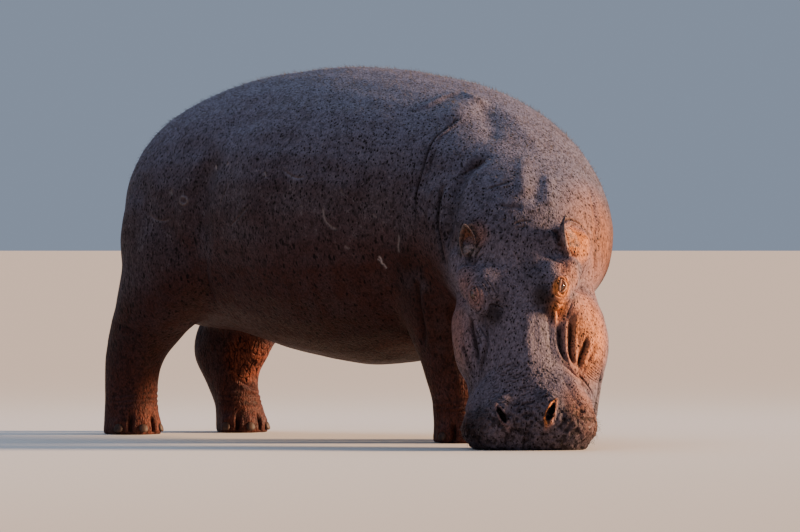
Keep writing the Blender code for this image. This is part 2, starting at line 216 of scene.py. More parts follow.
def relaxed(values, edges, rounds, pull):
    first, second = edges[:, 0], edges[:, 1]
    size = len(values)
    counts = np.maximum(np.bincount(edges.ravel(), minlength=size), 1)
    values = values.copy()
    for _ in range(rounds):
        for axis in range(values.shape[1]):
            column = values[:, axis]
            total = np.bincount(first, column[second], size) + np.bincount(second, column[first], size)
            values[:, axis] = column + pull * (total / counts - column)
    return values


# The feet have three creases between the toes and soft bands above them, with painted shade in both. A step
# is a reach and a height, and a band is a height and a depth.
footSet = dict(
    behindNails=0.0342, near=(0.17, 0.12), creaseAngles=(-50, 0, 50), bandAngles=range(-130, 131, 20),
    steps=[(0.118, 0.098), (0.125, 0.060), (0.132, 0.028), (0.130, 0.004)],
    creaseShade=dict(width=0.009, depth=0.014, right=0.004, left=0.004, dark=0.8, start=0.5, end=0.01),
    bands=[(0.118, 0.003), (0.136, 0.004), (0.158, 0.003)], bandReach=0.13, bandTilt=0.010,
    band=dict(width=0.007, right=0.0015, dark=0.35),
)


def footFrames():
    found = {}
    for name in ("hind_right", "hind_left", "fore_right", "fore_left"):
        spots = [middleOf(f"nail_{name}_{count}") for count in (1, 2, 3, 4)]
        outer, inner = (spots[0] + spots[3]) / 2, (spots[1] + spots[2]) / 2
        forward = inner - outer
        forward.z = 0
        forward.normalize()
        found[name] = (outer - forward * footSet["behindNails"], forward)
    return found


feet = footFrames()


def nearFoot(places, radius, height):
    found = np.zeros(len(places))
    for centre, _ in feet.values():
        spread = np.hypot(places[:, 0] - centre.x, places[:, 1] - centre.y)
        low = eased(places[:, 2], height + 0.08, height)
        found = np.maximum(found, eased(spread, radius + 0.06, radius) * low)
    return found


def inHead(places, start=-0.10, end=0.02):
    local = headLocal(places)
    return eased(local[:, 0], start, end) * eased(places[:, 0], 0.55, 0.75) * eased(local[:, 2], -0.58, -0.50)


def nearTail(places):
    low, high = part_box("tail")
    return eased(places[:, 0], high[0] + 0.03, high[0] - 0.03) * eased(places[:, 2], 0.80, 0.74) * (
        eased(np.abs(places[:, 1] - (low[1] + high[1]) / 2), 0.10, 0.05))


def calmed(mesh):
    places, edges = placesOf(mesh), edgesOf(mesh)
    share = np.ones(len(places))
    share = share + (skinSet["headShare"] - share) * inHead(places)
    share = share + (skinSet["footShare"] - share) * nearFoot(places, *footSet["near"])
    share = share + (skinSet["tailShare"] - share) * nearTail(places)
    calm = relaxed(places, edges, skinSet["relaxRounds"], skinSet["relaxPull"] * share)
    setPlaces(mesh, calm)
    normals = normalsOf(mesh)
    lost = ((calm - places) * normals).sum(1)[:, None]
    lost = relaxed(lost, edges, skinSet["relaxRounds"], skinSet["relaxPull"] * np.maximum(share, 0.3))
    setPlaces(mesh, calm - normals * lost)


def refined(mesh, inside):
    bm = bmesh.new()
    bm.from_mesh(mesh)
    wanted = inside(placesOf(mesh))
    bm.verts.ensure_lookup_table()
    edges = [edge for edge in bm.edges if wanted[edge.verts[0].index] and wanted[edge.verts[1].index]]
    bmesh.ops.subdivide_edges(bm, edges=edges, cuts=1, use_grid_fill=True)
    bm.to_mesh(mesh)
    bm.free()
    places, edges = placesOf(mesh), edgesOf(mesh)
    setPlaces(mesh, relaxed(places, edges, 3, 0.5 * inside(places)))


def closeTo(points, radius):
    def inside(places):
        found = np.zeros(len(places), dtype=bool)
        for point in points:
            found |= ((places - np.array(point)) ** 2).sum(1) < radius * radius
        return found
    return inside


def closeToLines(tables, radius):
    low, cells = np.array((-3.0, -3.0, -1.0)), set()
    for table in tables:
        for made in table.values():
            for point in curveThrough([bodyPoint(point) for point in made["points"]], 0.006):
                cells.add(tuple(np.floor((np.array(point) - low) / radius).astype(int)))
    steps = [(i, j, k) for i in (-1, 0, 1) for j in (-1, 0, 1) for k in (-1, 0, 1)]
    wide = {(a + i, b + j, c + k) for a, b, c in cells for i, j, k in steps}
    keys = np.array(sorted((a * 4096 + b) * 4096 + c for a, b, c in wide))

    def inside(places):
        spots = np.floor((places - low) / radius).astype(int)
        return np.isin((spots[:, 0] * 4096 + spots[:, 1]) * 4096 + spots[:, 2], keys)
    return inside


def headOrFoot(places):
    return ((inHead(places, -0.14, -0.13) > 0.5) | (nearFoot(places, *footSet["near"]) > 0.5)
            | (nearTail(places) > 0.5))


def faceFront(places):
    along, side, up = headLocal(places).T
    floor = -0.17 - 0.10 * eased(along, 0.30, 0.45)
    return (along > 0.13) & (along < 0.80) & (up > floor) & (np.abs(side) < 0.32)


def keepSoles(places):
    places[:, 2] = np.maximum(places[:, 2], solidLow.z)
    return places


# Each ear is a cupped leaf: rows of height, radius and half the angle that it closes.
earSet = dict(
    thick=0.0105, rim=0.0070, around=30, along=36, bowl=0.028,
    poses={
        "ear_right": dict(root=(0.082, -0.183, -0.034), lean=8, face=16, close=1.0, curl=-0.010),
        "ear_left": dict(root=(0.082, 0.200, -0.038), lean=2, face=98, close=0.64, curl=0.016),
    },
    rows=[
        (-0.030, 0.020, 118), (0.012, 0.026, 106), (0.042, 0.033, 96), (0.070, 0.0365, 90),
        (0.096, 0.0335, 84), (0.118, 0.025, 76), (0.135, 0.0140, 66), (0.144, 0.006, 56),
    ],
)


def rowAt(rows, part):
    spot = part * (len(rows) - 1)
    index = min(int(spot), len(rows) - 2)
    t = spot - index
    around = [rows[min(max(index + k, 0), len(rows) - 1)] for k in (-1, 0, 1, 2)]
    a, b, c, d = (np.array(row, dtype=float) for row in around)
    return 0.5 * (2 * b + (c - a) * t + (2 * a - 5 * b + 4 * c - d) * t * t
                  + (3 * b - 3 * c + d - a) * t ** 3)


def earAxes(name):
    pose = earSet["poses"][name]
    side = math.copysign(1, pose["root"][1])
    root = headPoint(pose["root"])
    faces = heading(headSet["turn"] - pose["face"] * side, 0)
    outward = heading(headSet["turn"] - 90 * side, 0)
    axis = (Vector((0, 0, 1)) + outward * math.tan(math.radians(pose["lean"]))).normalized()
    across = axis.cross(faces).normalized()
    return root, axis, across, axis.cross(across).normalized()


def earMesh(name):
    root, axis, across, back = earAxes(name)
    pose = earSet["poses"][name]
    bm = bmesh.new()
    loops = []
    for k in range(earSet["along"] + 1):
        part = k / earSet["along"]
        height, radius, closes = rowAt(earSet["rows"], part)
        thick = min(earSet["thick"] + (earSet["rim"] - earSet["thick"]) * part, radius * 0.9)
        closes *= pose["close"]
        centre = root + axis * height + back * (pose["curl"] * part * part)
        loop = []
        count = earSet["around"]
        for j in range(count):
            spot = 2 * math.pi * j / count
            sweep = math.radians(closes) * -math.cos(spot)
            shell = radius - thick / 2 + thick / 2 * math.sin(spot) * (1 if part < 1 else 0.2)
            loop.append(bm.verts.new(centre + (across * math.sin(sweep) + back * math.cos(sweep)) * shell))
        loops.append(loop)
    for lower, upper in zip(loops, loops[1:]):
        for j in range(len(lower)):
            after = (j + 1) % len(lower)
            bm.faces.new((lower[j], lower[after], upper[after], upper[j]))
    bm.faces.new(loops[0][::-1])
    bm.faces.new(loops[-1])
    bmesh.ops.recalc_face_normals(bm, faces=bm.faces[:])
    bmesh.ops.triangulate(bm, faces=bm.faces[:])
    return meshFrom(bm, name)


def fromEar(name, places):
    root, axis, across, back = (np.array(value) for value in earAxes(name))
    gap = places - root
    height = gap @ axis
    level = gap - height[:, None] * axis
    return height, level, np.linalg.norm(level, axis=1), (axis, across, back)


def joinedByCut(body, piece):
    base, tool = linked("base", body), linked("tool", piece)
    cut = base.modifiers.new("join", "BOOLEAN")
    cut.operation = "UNION"
    cut.solver = "MANIFOLD"
    cut.object = tool
    made = appliedMesh(base)
    bpy.data.objects.remove(base)
    bpy.data.objects.remove(tool)
    return made


# Folds and creases, in millimetres: width, depth, then points that run down or forward. A negative depth is a
# ridge; right and left are how far each side stands up, as seen from outside. Dark is painted shade in the
# fold.
def groove(width, depth, points, right=0, left=0, **more):
    return dict(points=[tuple(value / 1000 for value in point) for point in points], width=width / 1000,
                depth=depth / 1000, right=right / 1000, left=left / 1000, **more)


def otherSide(points):
    return [(along, -side, up) for along, side, up in points]


def curveThrough(points, step=0.004):
    ends = [2 * points[0] - points[1]] + points + [2 * points[-1] - points[-2]]
    made = []
    for a, b, c, d in zip(ends, ends[1:], ends[2:], ends[3:]):
        count = max(1, int((c - b).length / step))
        for k in range(count):
            t = k / count
            made.append(0.5 * (2 * b + (c - a) * t + (2 * a - 5 * b + 4 * c - d) * t * t
                               + (3 * b - 3 * c + d - a) * t ** 3))
    made.append(points[-1])
    return made


class Clay:
    def __init__(self, mesh):
        self.mesh = mesh
        self.edges = edgesOf(mesh)
        self.marks = {}
        self.read()

    def read(self):
        self.places = placesOf(self.mesh)
        self.normals = normalsOf(self.mesh)
        faces = [tuple(face.vertices) for face in self.mesh.polygons]
        self.tree = BVHTree.FromPolygons([Vector(place) for place in self.places], faces)

    def write(self):
        setPlaces(self.mesh, self.places)
        self.normals = normalsOf(self.mesh)

    def mark(self, name):
        if name not in self.marks:
            self.marks[name] = np.zeros(len(self.places))
        return self.marks[name]

    def deepen(self, name, values, where=slice(None)):
        marks = self.mark(name)
        marks[where] = np.maximum(marks[where], values)

    def line(self, points):
        spots, ups = [], []
        for point in curveThrough(points):
            spot, up, _, _ = self.tree.find_nearest(point)
            spots.append(spot)
            ups.append(up)
        spots, ups = np.array(spots), np.array(ups)
        for _ in range(3):
            spots[1:-1] = (spots[:-2] + 2 * spots[1:-1] + spots[2:]) / 4
            ups[1:-1] = (ups[:-2] + 2 * ups[1:-1] + ups[2:]) / 4
        ups /= np.linalg.norm(ups, axis=1)[:, None]
        tangents = np.gradient(spots, axis=0)
        tangents /= np.maximum(np.linalg.norm(tangents, axis=1)[:, None], 1e-9)
        return spots, ups, tangents, np.cross(ups, tangents)

    def along(self, points, reach):
        spots, ups, tangents, sides = self.line(points)
        inside = np.all((self.places > spots.min(0) - reach) & (self.places < spots.max(0) + reach), axis=1)
        inside = np.nonzero(inside)[0]
        near = self.places[inside]
        best = np.empty(len(near), dtype=int)
        for start in range(0, len(near), 4000):
            gap = near[start:start + 4000, None, :] - spots[None]
            best[start:start + 4000] = (gap * gap).sum(2).argmin(1)
        gap = near - spots[best]
        across = (gap * sides[best]).sum(1)
        over = np.abs((gap * tangents[best]).sum(1))
        lift = np.abs((gap * ups[best]).sum(1))
        facing = (self.normals[inside] * ups[best]).sum(1)
        keep = (np.abs(across) < reach) & (over < 0.008) & (lift < reach) & (facing > 0.15)
        part = best[keep] / (len(spots) - 1)
        return inside[keep], across[keep], part, sides[best[keep]]

    def fold(self, points, width, depth=0.0, right=0.0, left=0.0, dark=0.0, pale=0.0, pinch=0.25,
             start=0.2, end=0.2):
        which, across, part, sides = self.along(points, width * 4)
        fade = eased(part, 0, max(start, 1e-6)) * eased(1 - part, 0, max(end, 1e-6))
        u = across / width
        cut = np.exp(-u * u)
        lift = -depth * cut + right * np.exp(-((u - 1.7) / 1.1) ** 2) + left * np.exp(-((u + 1.7) / 1.1) ** 2)
        self.places[which] += self.normals[which] * (lift * fade)[:, None]
        self.places[which] -= sides * (across * cut * pinch * fade)[:, None]
        # Painted shade along the fold's hollow.
        if dark:
            self.deepen("creaseShade", dark * np.exp(-(u / 1.1) ** 2) * fade, which)
        if pale:
            self.deepen("paleLine", pale * cut * fade, which)

    def lump(self, centre, radii, lift, turn=headMatrix):
        far = farOff((self.places - np.array(centre)) @ turn, radii)
        self.places += self.normals * (lift * eased(far, 1.0, 0.0))[:, None]


# Smooth random lumps, from a lattice of seeded numbers.
noiseTable = np.random.default_rng(4).random((32, 32, 32))


def waver(places, size):
    spots = places / size
    base = np.floor(spots).astype(int)
    part = spots - base
    part = part * part * (3 - 2 * part)
    total = np.zeros(len(places))
    for dx in (0, 1):
        for dy in (0, 1):
            for dz in (0, 1):
                value = noiseTable[(base[:, 0] + dx) % 32, (base[:, 1] + dy) % 32, (base[:, 2] + dz) % 32]
                weight = (part[:, 0] if dx else 1 - part[:, 0]) * (part[:, 1] if dy else 1 - part[:, 1])
                total += value * weight * (part[:, 2] if dz else 1 - part[:, 2])
    return total * 2 - 1


bodyFolds = {
    "bladeHollow": groove(40, 13, [(520, -20, 1345), (574, -110, 1307), (659, -195, 1227),
        (697, -279, 1159)], pinch=0.0),
    "bladeEdge": groove(18, -9, [(309, -250, 1295), (336, -220, 1311), (368, -191, 1323), (390, -127, 1351),
        (424, -60, 1368), (485, -86, 1353), (542, -70, 1331), (595, -62, 1307)], pinch=0.0),
    "neckCrest": groove(36, -7, [(620, -48, 1299), (686, -76, 1259), (763, -114, 1207), (836, -153, 1148),
        (899, -185, 1101)], pinch=0.0),
    "shoulderFold": groove(6, 10, [(534, -219, 1274), (516, -271, 1250), (500, -300, 1224),
        (482, -318, 1192), (475, -339, 1157), (475, -366, 1114), (474, -386, 1075), (473, -411, 1024),
        (472, -434, 970), (478, -452, 908), (486, -455, 820)], right=7, dark=0.9, start=0.2),
    "shoulderFoldInner": groove(5, 5, [(508, -353, 1156), (506, -380, 1117), (503, -403, 1074),
        (501, -424, 1032)], right=2, dark=0.5),
    "neckValley": groove(27, 22, [(737, -311, 1128), (715, -345, 1093), (690, -370, 1060),
        (678, -405, 1020), (674, -440, 973), (680, -470, 915), (678, -490, 854), (672, -506, 800),
        (675, -517, 740)], right=6, dark=0.28, pinch=0.0),
    "neckCreaseTop": groove(8, 4, [(732, -338, 1108), (703, -356, 1085), (676, -372, 1062),
        (658, -407, 1031)], dark=0.3),
    "foldEdgeBack": groove(8, -7, [(561, -429, 1012), (546, -440, 977), (544, -455, 927), (554, -473, 869),
        (565, -480, 808), (583, -482, 754)], pinch=0.0),
    "foldGap": groove(8.5, 16, [(590, -436, 1018), (592, -462, 966), (593, -482, 908), (598, -496, 854),
        (612, -508, 800), (632, -513, 735), (650, -500, 670)], dark=0.95),
    "foldEdgeFront": groove(7.5, -9, [(625, -440, 1004), (620, -462, 958), (620, -484, 908),
        (628, -500, 854), (642, -511, 800), (660, -512, 735)], pinch=0.0),
    "napeCrease": groove(6, 4, [(885, -378, 1023), (859, -402, 1007), (828, -424, 994),
        (803, -442, 980)], right=2, dark=0.32),
    "napeBand": groove(12, 5, [(872, -468, 927), (908, -461, 919), (941, -441, 915),
        (965, -429, 911)], dark=0.25, pinch=0.0),
    "napeHollow": groove(26, 9, [(905, -235, 1080), (940, -290, 1030), (958, -335, 985), (975, -375, 940),
        (997, -402, 905)], dark=0.0, pinch=0.0, start=0.5, end=0.25),
    "napeRidgeRight": groove(26, -7, [(840, -245, 1130), (870, -290, 1090), (908, -357, 1030),
        (950, -405, 950)], pinch=0.0),
    "napeRidgeLeft": groove(22, -6, [(960, -250, 1045), (990, -295, 1005), (1014, -330, 961),
        (1029, -360, 915)], pinch=0.0),
    "neckEdgeLeft": groove(16, 7, [(1010, -60, 1001), (1056, -94, 946), (1090, -127, 889),
        (1117, -158, 823), (1127, -181, 762), (1128, -189, 700),
        (1100, -140, 638)], right=5, left=3, dark=0.1),
    "neckLineLeft": groove(5, 3.5, [(985, -70, 1034), (999, -60, 1012), (1020, -62, 986),
        (1045, -78, 958)], dark=0.35),
    "flankTrough": groove(60, 24, [(-560, -310, 1150), (-578, -341, 1089), (-608, -357, 1020),
        (-618, -362, 930), (-621, -351, 810),
        (-621, -324, 703)], left=10, dark=0.05, pinch=0.0, start=0.35, end=0.35),
    "flankFold": groove(22, 9, [(-622, -345, 760), (-625, -325, 703), (-660, -275, 630), (-680, -220, 569),
        (-672, -154, 501)], right=6, dark=0.16, start=0.4, end=0.4),
    "armpitFold": groove(16, 14, [(440, -400, 640), (436, -371, 559), (423, -319, 442),
        (396, -273, 373)], right=8, dark=0.6),
    "kneeFold": groove(9, 7, [(-950, 275, 222), (-925, 295, 210), (-905, 325, 190),
        (-899, 390, 170)], left=7, dark=0.45, start=0.5),
    "hockFold": groove(12, 5, [(-1200, -195, 470), (-1134, -234, 445), (-1072, -234, 422),
        (-1020, -230, 400)], left=2, dark=0.25, start=0.5),
}

# Lines of the head's left that its right repeats.
twinLines = dict(
    pouch=[(293, 143, 6), (306, 150, -9), (308, 165, -22), (298, 181, -30), (280, 194, -30)],
    brow=[(105, 190, -5), (118, 207, -13), (130, 222, -31), (150, 230, -60), (175, 232, -80)],
    lip=[(555, 143, -85), (600, 156, -70), (642, 168, -62), (678, 184, -60), (721, 197, -45),
        (763, 203, -42), (803, 201, -52)],
    mouth=[(480, 300, -235), (545, 270, -262), (610, 262, -262), (690, 262, -240), (760, 250, -225),
        (820, 215, -215), (860, 140, -215)],
)

# The left cheek hangs in upright folds; the right one, turned inward, shows the same ones closer together.
headFolds = {
    "cheekGrooveA": groove(9.5, 15, [(345, 148, -64), (398, 143, -70), (441, 142, -78), (479, 147, -86),
        (508, 159, -100), (527, 174, -126)], dark=0.95, start=0.3, end=0.3),
    "cheekGrooveB": groove(8, 18, [(335, 192, -72), (382, 186, -79), (427, 181, -88), (465, 178, -96),
        (494, 180, -107), (520, 186, -125)], dark=1.0, start=0.25, end=0.2),
    "cheekGrooveC": groove(8.5, 15, [(402, 246, -104), (445, 232, -108), (476, 218, -118), (504, 207, -128),
        (529, 202, -146)], dark=1.0, start=0.3, end=0.2),
    "cheekGrooveD": groove(11, 9, [(405, 285, -142), (456, 266, -138), (487, 249, -138),
        (515, 233, -148)], dark=0.35, start=0.4),
    "cheekRibA": groove(7.5, -5, [(343, 170, -69), (398, 165, -77), (451, 161, -87), (492, 166, -99),
        (518, 179, -119)], pinch=0.0),
    "cheekRibB": groove(7.5, -5, [(344, 210, -75), (396, 203, -88), (445, 198, -99), (489, 195, -113),
        (521, 198, -134)], pinch=0.0),
    "cheekRibC": groove(8.5, -4, [(415, 262, -114), (462, 243, -119), (496, 228, -133),
        (522, 218, -147)], pinch=0.0),
    "lipRidge": groove(14, -8, [(446, 127, -73), (484, 141, -84), (514, 162, -105), (539, 186, -148),
        (568, 211, -183), (605, 233, -205), (650, 243, -190), (700, 245, -150)], pinch=0.0),
    "crinkleLeft": groove(5, 7, [(535, 196, -155), (549, 202, -168), (566, 218, -188), (589, 234, -207),
        (619, 246, -226)], dark=0.65),
    "pouchLeft": groove(3.5, 5, twinLines["pouch"], dark=0.8),
    "tearRibLeft": groove(5, -5, [(306, 151, -9), (318, 141, -36), (343, 133, -52),
        (376, 128, -60)], pinch=0.0),
    "tearLeft": groove(6.5, 8, [(298, 143, 3), (319, 130, -21), (337, 121, -44),
        (361, 118, -55)], dark=0.85),
    "outerLeft": groove(4, 5, [(269, 208, -47), (296, 197, -49), (321, 182, -64),
        (351, 172, -70)], dark=0.5),
    "browEdgeLeft": groove(11, -7, twinLines["brow"], pinch=0.0),
    "browEdgeRight": groove(11, -6, otherSide(twinLines["brow"]), pinch=0.0),
    "pouchRight": groove(3.5, 5, otherSide(twinLines["pouch"]), dark=0.7),
    "pouchRidgeRight": groove(9, -7, [(258, -128, 18), (280, -116, 10), (297, -124, -8),
        (303, -146, -20)], pinch=0.0),
    "lidCreaseRight": groove(3, 3, [(185, -138, 24), (213, -124, 26), (243, -110, 23), (273, -99, 13),
        (288, -83, -3)], left=2, dark=0.5),
    "lidCreaseRightB": groove(3, 3, [(183, -121, 23), (214, -103, 23), (247, -86, 18),
        (274, -70, 1)], left=2, dark=0.45),
    "hollowEdgeRight": groove(4.5, 6, [(293, -120, 6), (294, -101, 0), (298, -80, -8),
        (306, -58, -15)], right=3, dark=0.85),
    "foreheadDash": groove(3.5, 3, [(291, -65, -9), (297, -52, -11), (301, -40, -13)], dark=0.8),
    "rightGrooveA": groove(7.5, 12, [(302, -196, -58), (342, -192, -81), (391, -186, -84), (438, -180, -94),
        (484, -177, -113)], left=3, dark=0.9),
    "rightGrooveB": groove(7.5, 11, [(385, -246, -104), (438, -232, -111), (477, -221, -129),
        (510, -208, -151)], left=3, dark=0.85),
    "rightGrooveC": groove(7.5, 8, [(330, -143, -64), (368, -136, -64), (408, -137, -70), (447, -147, -83),
        (485, -164, -105), (516, -181, -134)], dark=0.6),
    "rightRib": groove(7, -5, [(414, -165, -84), (456, -164, -95), (495, -172, -112)], pinch=0.0),
    "rightSlantA": groove(4, 5, [(335, -166, -73), (369, -150, -69), (396, -138, -67)], dark=0.6),
    "rightSlantB": groove(4, 5, [(350, -180, -77), (385, -167, -76), (417, -158, -80)], dark=0.6),
    "rightOuter": groove(9, 5, [(334, -248, -104), (386, -243, -103), (430, -233, -108)], dark=0.2),
    "earRootA": groove(3.8, 6, [(8, -133, 0), (42, -159, -7), (72, -180, -18)], dark=0.8),
    "earRootB": groove(3.8, 6, [(30, -124, -3), (61, -151, -13), (92, -175, -23)], dark=0.8),
    "earRootC": groove(3.8, 5, [(62, -120, -7), (84, -149, -18), (115, -171, -16)], dark=0.7),
    "earRootLeftA": groove(3.8, 5, [(68, 145, -18), (90, 166, -18), (117, 185, -14)], dark=0.7),
    "earRootLeftB": groove(3.8, 5, [(55, 155, -5), (78, 174, -9), (96, 194, -28)], dark=0.7),
    "earRootLeftC": groove(3.8, 4, [(104, 130, -20), (130, 152, -4), (143, 177, -3)], dark=0.5),
    "earGutterRight": groove(11, 15, [(56, -190, -16), (76, -186, -16),
        (100, -181, -22)], right=3, left=3, dark=0.9, start=0.1, end=0.5),
    "earGutterLeft": groove(11, 15, [(-12, 148, -3), (18, 156, -6), (52, 166, -12),
        (86, 176, -20)], right=3, left=3, dark=0.9, start=0.1, end=0.5),
    "padRing": groove(5, 6, [(-50, 201, 15), (-70, 218, -40), (-66, 237, -90), (-52, 254, -117),
        (-30, 267, -134), (-6, 275, -160)], left=4, dark=0.6),
    "padUnder": groove(6, 6, [(62, 181, -4), (78, 192, -24), (92, 208, -36),
        (98, 231, -52)], left=4, dark=0.45),
    "crownLineA": groove(4, 4, [(-27, -4, 20), (-37, 19, 19), (-41, 46, 15), (-37, 72, 8)], dark=0.6),
    "crownLineB": groove(4, 3, [(-18, 3, 19), (-14, 26, 17), (-20, 52, 12)], dark=0.5),
    "foreheadLine": groove(3.5, 3, [(152, 50, 0), (150, 72, 3), (168, 93, 13)], dark=0.6),
    "nostrilTopRight": groove(3, 4, [(679, -98, -3), (681, -80, -2), (691, -63, -3),
        (709, -49, -7)], left=2, dark=0.7),
    "nostrilUnderRight": groove(3, 3, [(725, -116, 11), (757, -110, 8), (785, -98, 4),
        (798, -75, -5)], dark=0.5),
    "nostrilSideRight": groove(4.5, 5, [(740, -46, -7), (762, -43, -14), (783, -40, -32),
        (800, -36, -52)], dark=0.6),
    "noseArc": groove(3.2, 4, [(724, -22, -26), (705, -10, -29), (697, 10, -30), (698, 29, -25),
        (700, 46, -10)], dark=0.7),
    "nostrilTopLeftA": groove(3, 4, [(708, 61, 1), (692, 76, 0), (690, 97, 0),
        (703, 114, 3)], right=2, dark=0.6),
    "nostrilTopLeftB": groove(3, 3, [(687, 46, -16), (671, 66, -16), (665, 89, -15)], dark=0.5),
    "lipGrooveLeft": groove(20, 6.5, twinLines["lip"], right=4, dark=0.12),
    "lipGrooveRight": groove(20, 6, otherSide(twinLines["lip"]), left=3, dark=0.12),
    "lipMiddle": groove(12, 8, [(735, 11, -33), (782, 8, -46), (818, 3, -66), (850, 0, -110),
        (865, 0, -160)], left=2, right=2, dark=0.35, start=0.4, end=0.02),
    "midRidge": groove(32, -7, [(270, 34, -6), (330, 22, -10), (390, 30, -14), (450, 18, -19),
        (510, 26, -26), (576, 16, -31), (620, 22, -31)], pinch=0.0, start=0.35, end=0.3),
    "bridgeSlope": groove(24, 4.5, [(330, 56, -20), (400, 53, -26), (470, 55, -34),
        (540, 62, -40)], pinch=0.0, start=0.4, end=0.4),
}

# Fine lines that follow a rule of their own: close slanting ones at the corner of the mouth, broken ones
# over the nose, and short ones round the eyes.
lineSet = dict(
    seed=11, cornerCount=13,
    cornerTop=[(0.476, 0.272, -0.160), (0.483, 0.283, -0.194), (0.475, 0.291, -0.255)],
    cornerMiddle=[(0.501, 0.246, -0.145), (0.509, 0.265, -0.177), (0.499, 0.279, -0.255)],
    cornerLow=[(0.539, 0.222, -0.166), (0.550, 0.244, -0.202), (0.541, 0.263, -0.270)],
    cornerJitter=0.03, cornerLine=dict(width=0.0024, depth=0.0024, dark=0.55, start=0.15, end=0.3),
    noseCount=130, noseAlong=(0.520, 0.715), noseSide=0.130, noseLong=(0.012, 0.036), noseSlope=0.35,
    noseWide=(0.0024, 0.0036), noseDeep=(0.0020, 0.0036), noseDark=(0.6, 1.0),
    eyeCount=34, eyeReach=(0.036, 0.085), eyeLong=(0.010, 0.028), eyeBend=0.3, eyeWide=(0.0016, 0.0026),
    eyeDeep=(0.0010, 0.0022), eyeDark=(0.3, 0.6), fade=0.4,
)


# Every fine line is darkened with painted shade along its groove.
def workLines(clay):
    random = np.random.default_rng(lineSet["seed"])
    top, middle, low = (np.array(lineSet[key]) for key in ("cornerTop", "cornerMiddle", "cornerLow"))
    jitter, slopes, bends = lineSet["cornerJitter"], lineSet["noseSlope"], lineSet["eyeBend"]

    def scratch(points, kind):
        wide, deep, dark = (random.uniform(*lineSet[kind + key]) for key in ("Wide", "Deep", "Dark"))
        clay.fold(points, width=wide, depth=deep, dark=dark, start=lineSet["fade"], end=lineSet["fade"])

    for side in (1, -1):
        for k in range(lineSet["cornerCount"]):
            part = 2 * k / (lineSet["cornerCount"] - 1) + random.uniform(-jitter, jitter)
            line = top + (middle - top) * part if part < 1 else middle + (low - middle) * (part - 1)
            clay.fold([headPoint(point) for point in line * (1, side, 1)], **lineSet["cornerLine"])
    for _ in range(lineSet["noseCount"]):
        along = random.uniform(*lineSet["noseAlong"])
        side = random.uniform(-1, 1) * lineSet["noseSide"]
        length, slope = random.uniform(*lineSet["noseLong"]), random.uniform(-slopes, slopes) + side * 1.5
        points = [(along + slope * length * t + 0.10 * length * (1 - 4 * t * t), side + length * t, -0.03)
                  for t in (-0.5, 0, 0.5)]
        scratch([headPoint(point) for point in points], "nose")
    for name in ("eye_left", "eye_right"):
        centre, along, across, _ = eyeAxes(name)
        for _ in range(lineSet["eyeCount"]):
            angle = random.uniform(0, 2 * math.pi)
            reach = random.uniform(*lineSet["eyeReach"])
            length = random.uniform(*lineSet["eyeLong"]) / reach
            bend = random.uniform(-bends, bends)
            scratch([centre + (along * math.cos(angle + length * t) + across * math.sin(angle + length * t))
                     * reach * (1 + bend * t) for t in (-0.5, 0, 0.5)], "eye")
    clay.write()


mouthFolds = {
    "mouthRight": groove(14, 22, otherSide(twinLines["mouth"]), left=6, right=4, dark=1.0,
                         start=0.12, end=0.02),
    "mouthLeft": groove(14, 22, twinLines["mouth"], left=4, right=6, dark=1.0, start=0.12, end=0.02),
}

# Each nostril is a slanting slit: along, side, up, slant, half width, warmth (pink skin with painted
# sunlight, strong on the sunlit left) and the height of its lip.
nostrilSet = dict(
    spots={"left": (0.756, 0.103, 0.004, 24, 0.0118, 1.0, 0.010),
           "right": (0.750, -0.086, 0.004, -24, 0.0102, 0.12, 0.006)},
    long=0.036, deep=0.034,
)


def workNostrils(clay):
    for along, side, up, slant, wide, sunlitWarmth, lip in nostrilSet["spots"].values():
        local = headLocal(clay.places)
        angle = math.radians(slant)
        p = (local[:, 0] - along) * math.cos(angle) - (local[:, 1] - side) * math.sin(angle)
        q = (local[:, 0] - along) * math.sin(angle) + (local[:, 1] - side) * math.cos(angle)
        level = (local[:, 2] > up - 0.06) & (clay.normals @ headMatrix[:, 2] > -0.2)
        far = np.hypot(p / nostrilSet["long"], q / wide / (1 + 0.25 * p / nostrilSet["long"]))
        rim = lip * np.exp(-((far - 1.35) / 0.32) ** 2) * level
        pit = eased(far, 1.05, 0.55) * level
        clay.places += headMatrix[:, 2][None] * rim[:, None]
        inward = headMatrix[:, 0] * -0.25 - headMatrix[:, 2]
        clay.places += inward[None] * (pit * nostrilSet["deep"])[:, None]
        # Painted shade in the nostril's pit, and a warm glow of painted sunlight round its rim.
        clay.deepen("creaseShade", eased(far, 1.15, 0.85) * level)
        near = np.where(q < 0, 1.0, 0.45) * sunlitWarmth
        clay.deepen("blushAndSunlight", near * np.exp(-(np.maximum(far - 1.30, 0) / 0.32) ** 2) * (far > 1.0) * level)
    clay.write()


# The lips are rough, with pits where the whiskers stand, and their lower corners are rounded off.
muzzleSet = dict(start=0.640, full=0.760, lumps=(0.0115, 0.0034), pits=(0.0140, 0.0036),
                 grain=(0.0085, 0.0006), corner=0.020)


def workMuzzle(clay):
    local = headLocal(clay.places)
    share = eased(local[:, 0], muzzleSet["start"], muzzleSet["full"]) * inHead(clay.places)
    size, high = muzzleSet["lumps"]
    wide, deep = muzzleSet["pits"]
    pit = eased(waver(clay.places + 7.3, wide), 0.10, 0.50)
    clay.places += clay.normals * ((waver(clay.places, size) * high - pit * deep) * share)[:, None]
    face = inHead(clay.places, 0.0, 0.10) * (1 - share)
    size, high = muzzleSet["grain"]
    clay.places += clay.normals * (waver(clay.places + 1.7, size) * high * face)[:, None]
    tuck = eased(np.abs(local[:, 1]), 0.10, 0.25) * eased(clay.places[:, 2], 0.075, 0.0) * inHead(clay.places)
    clay.places -= headMatrix[:, 1][None] * (np.sign(local[:, 1]) * tuck * muzzleSet["corner"])[:, None]
    # Painted shade in the whisker pits.
    clay.deepen("creaseShade", pit * share * 0.80)
    clay.write()


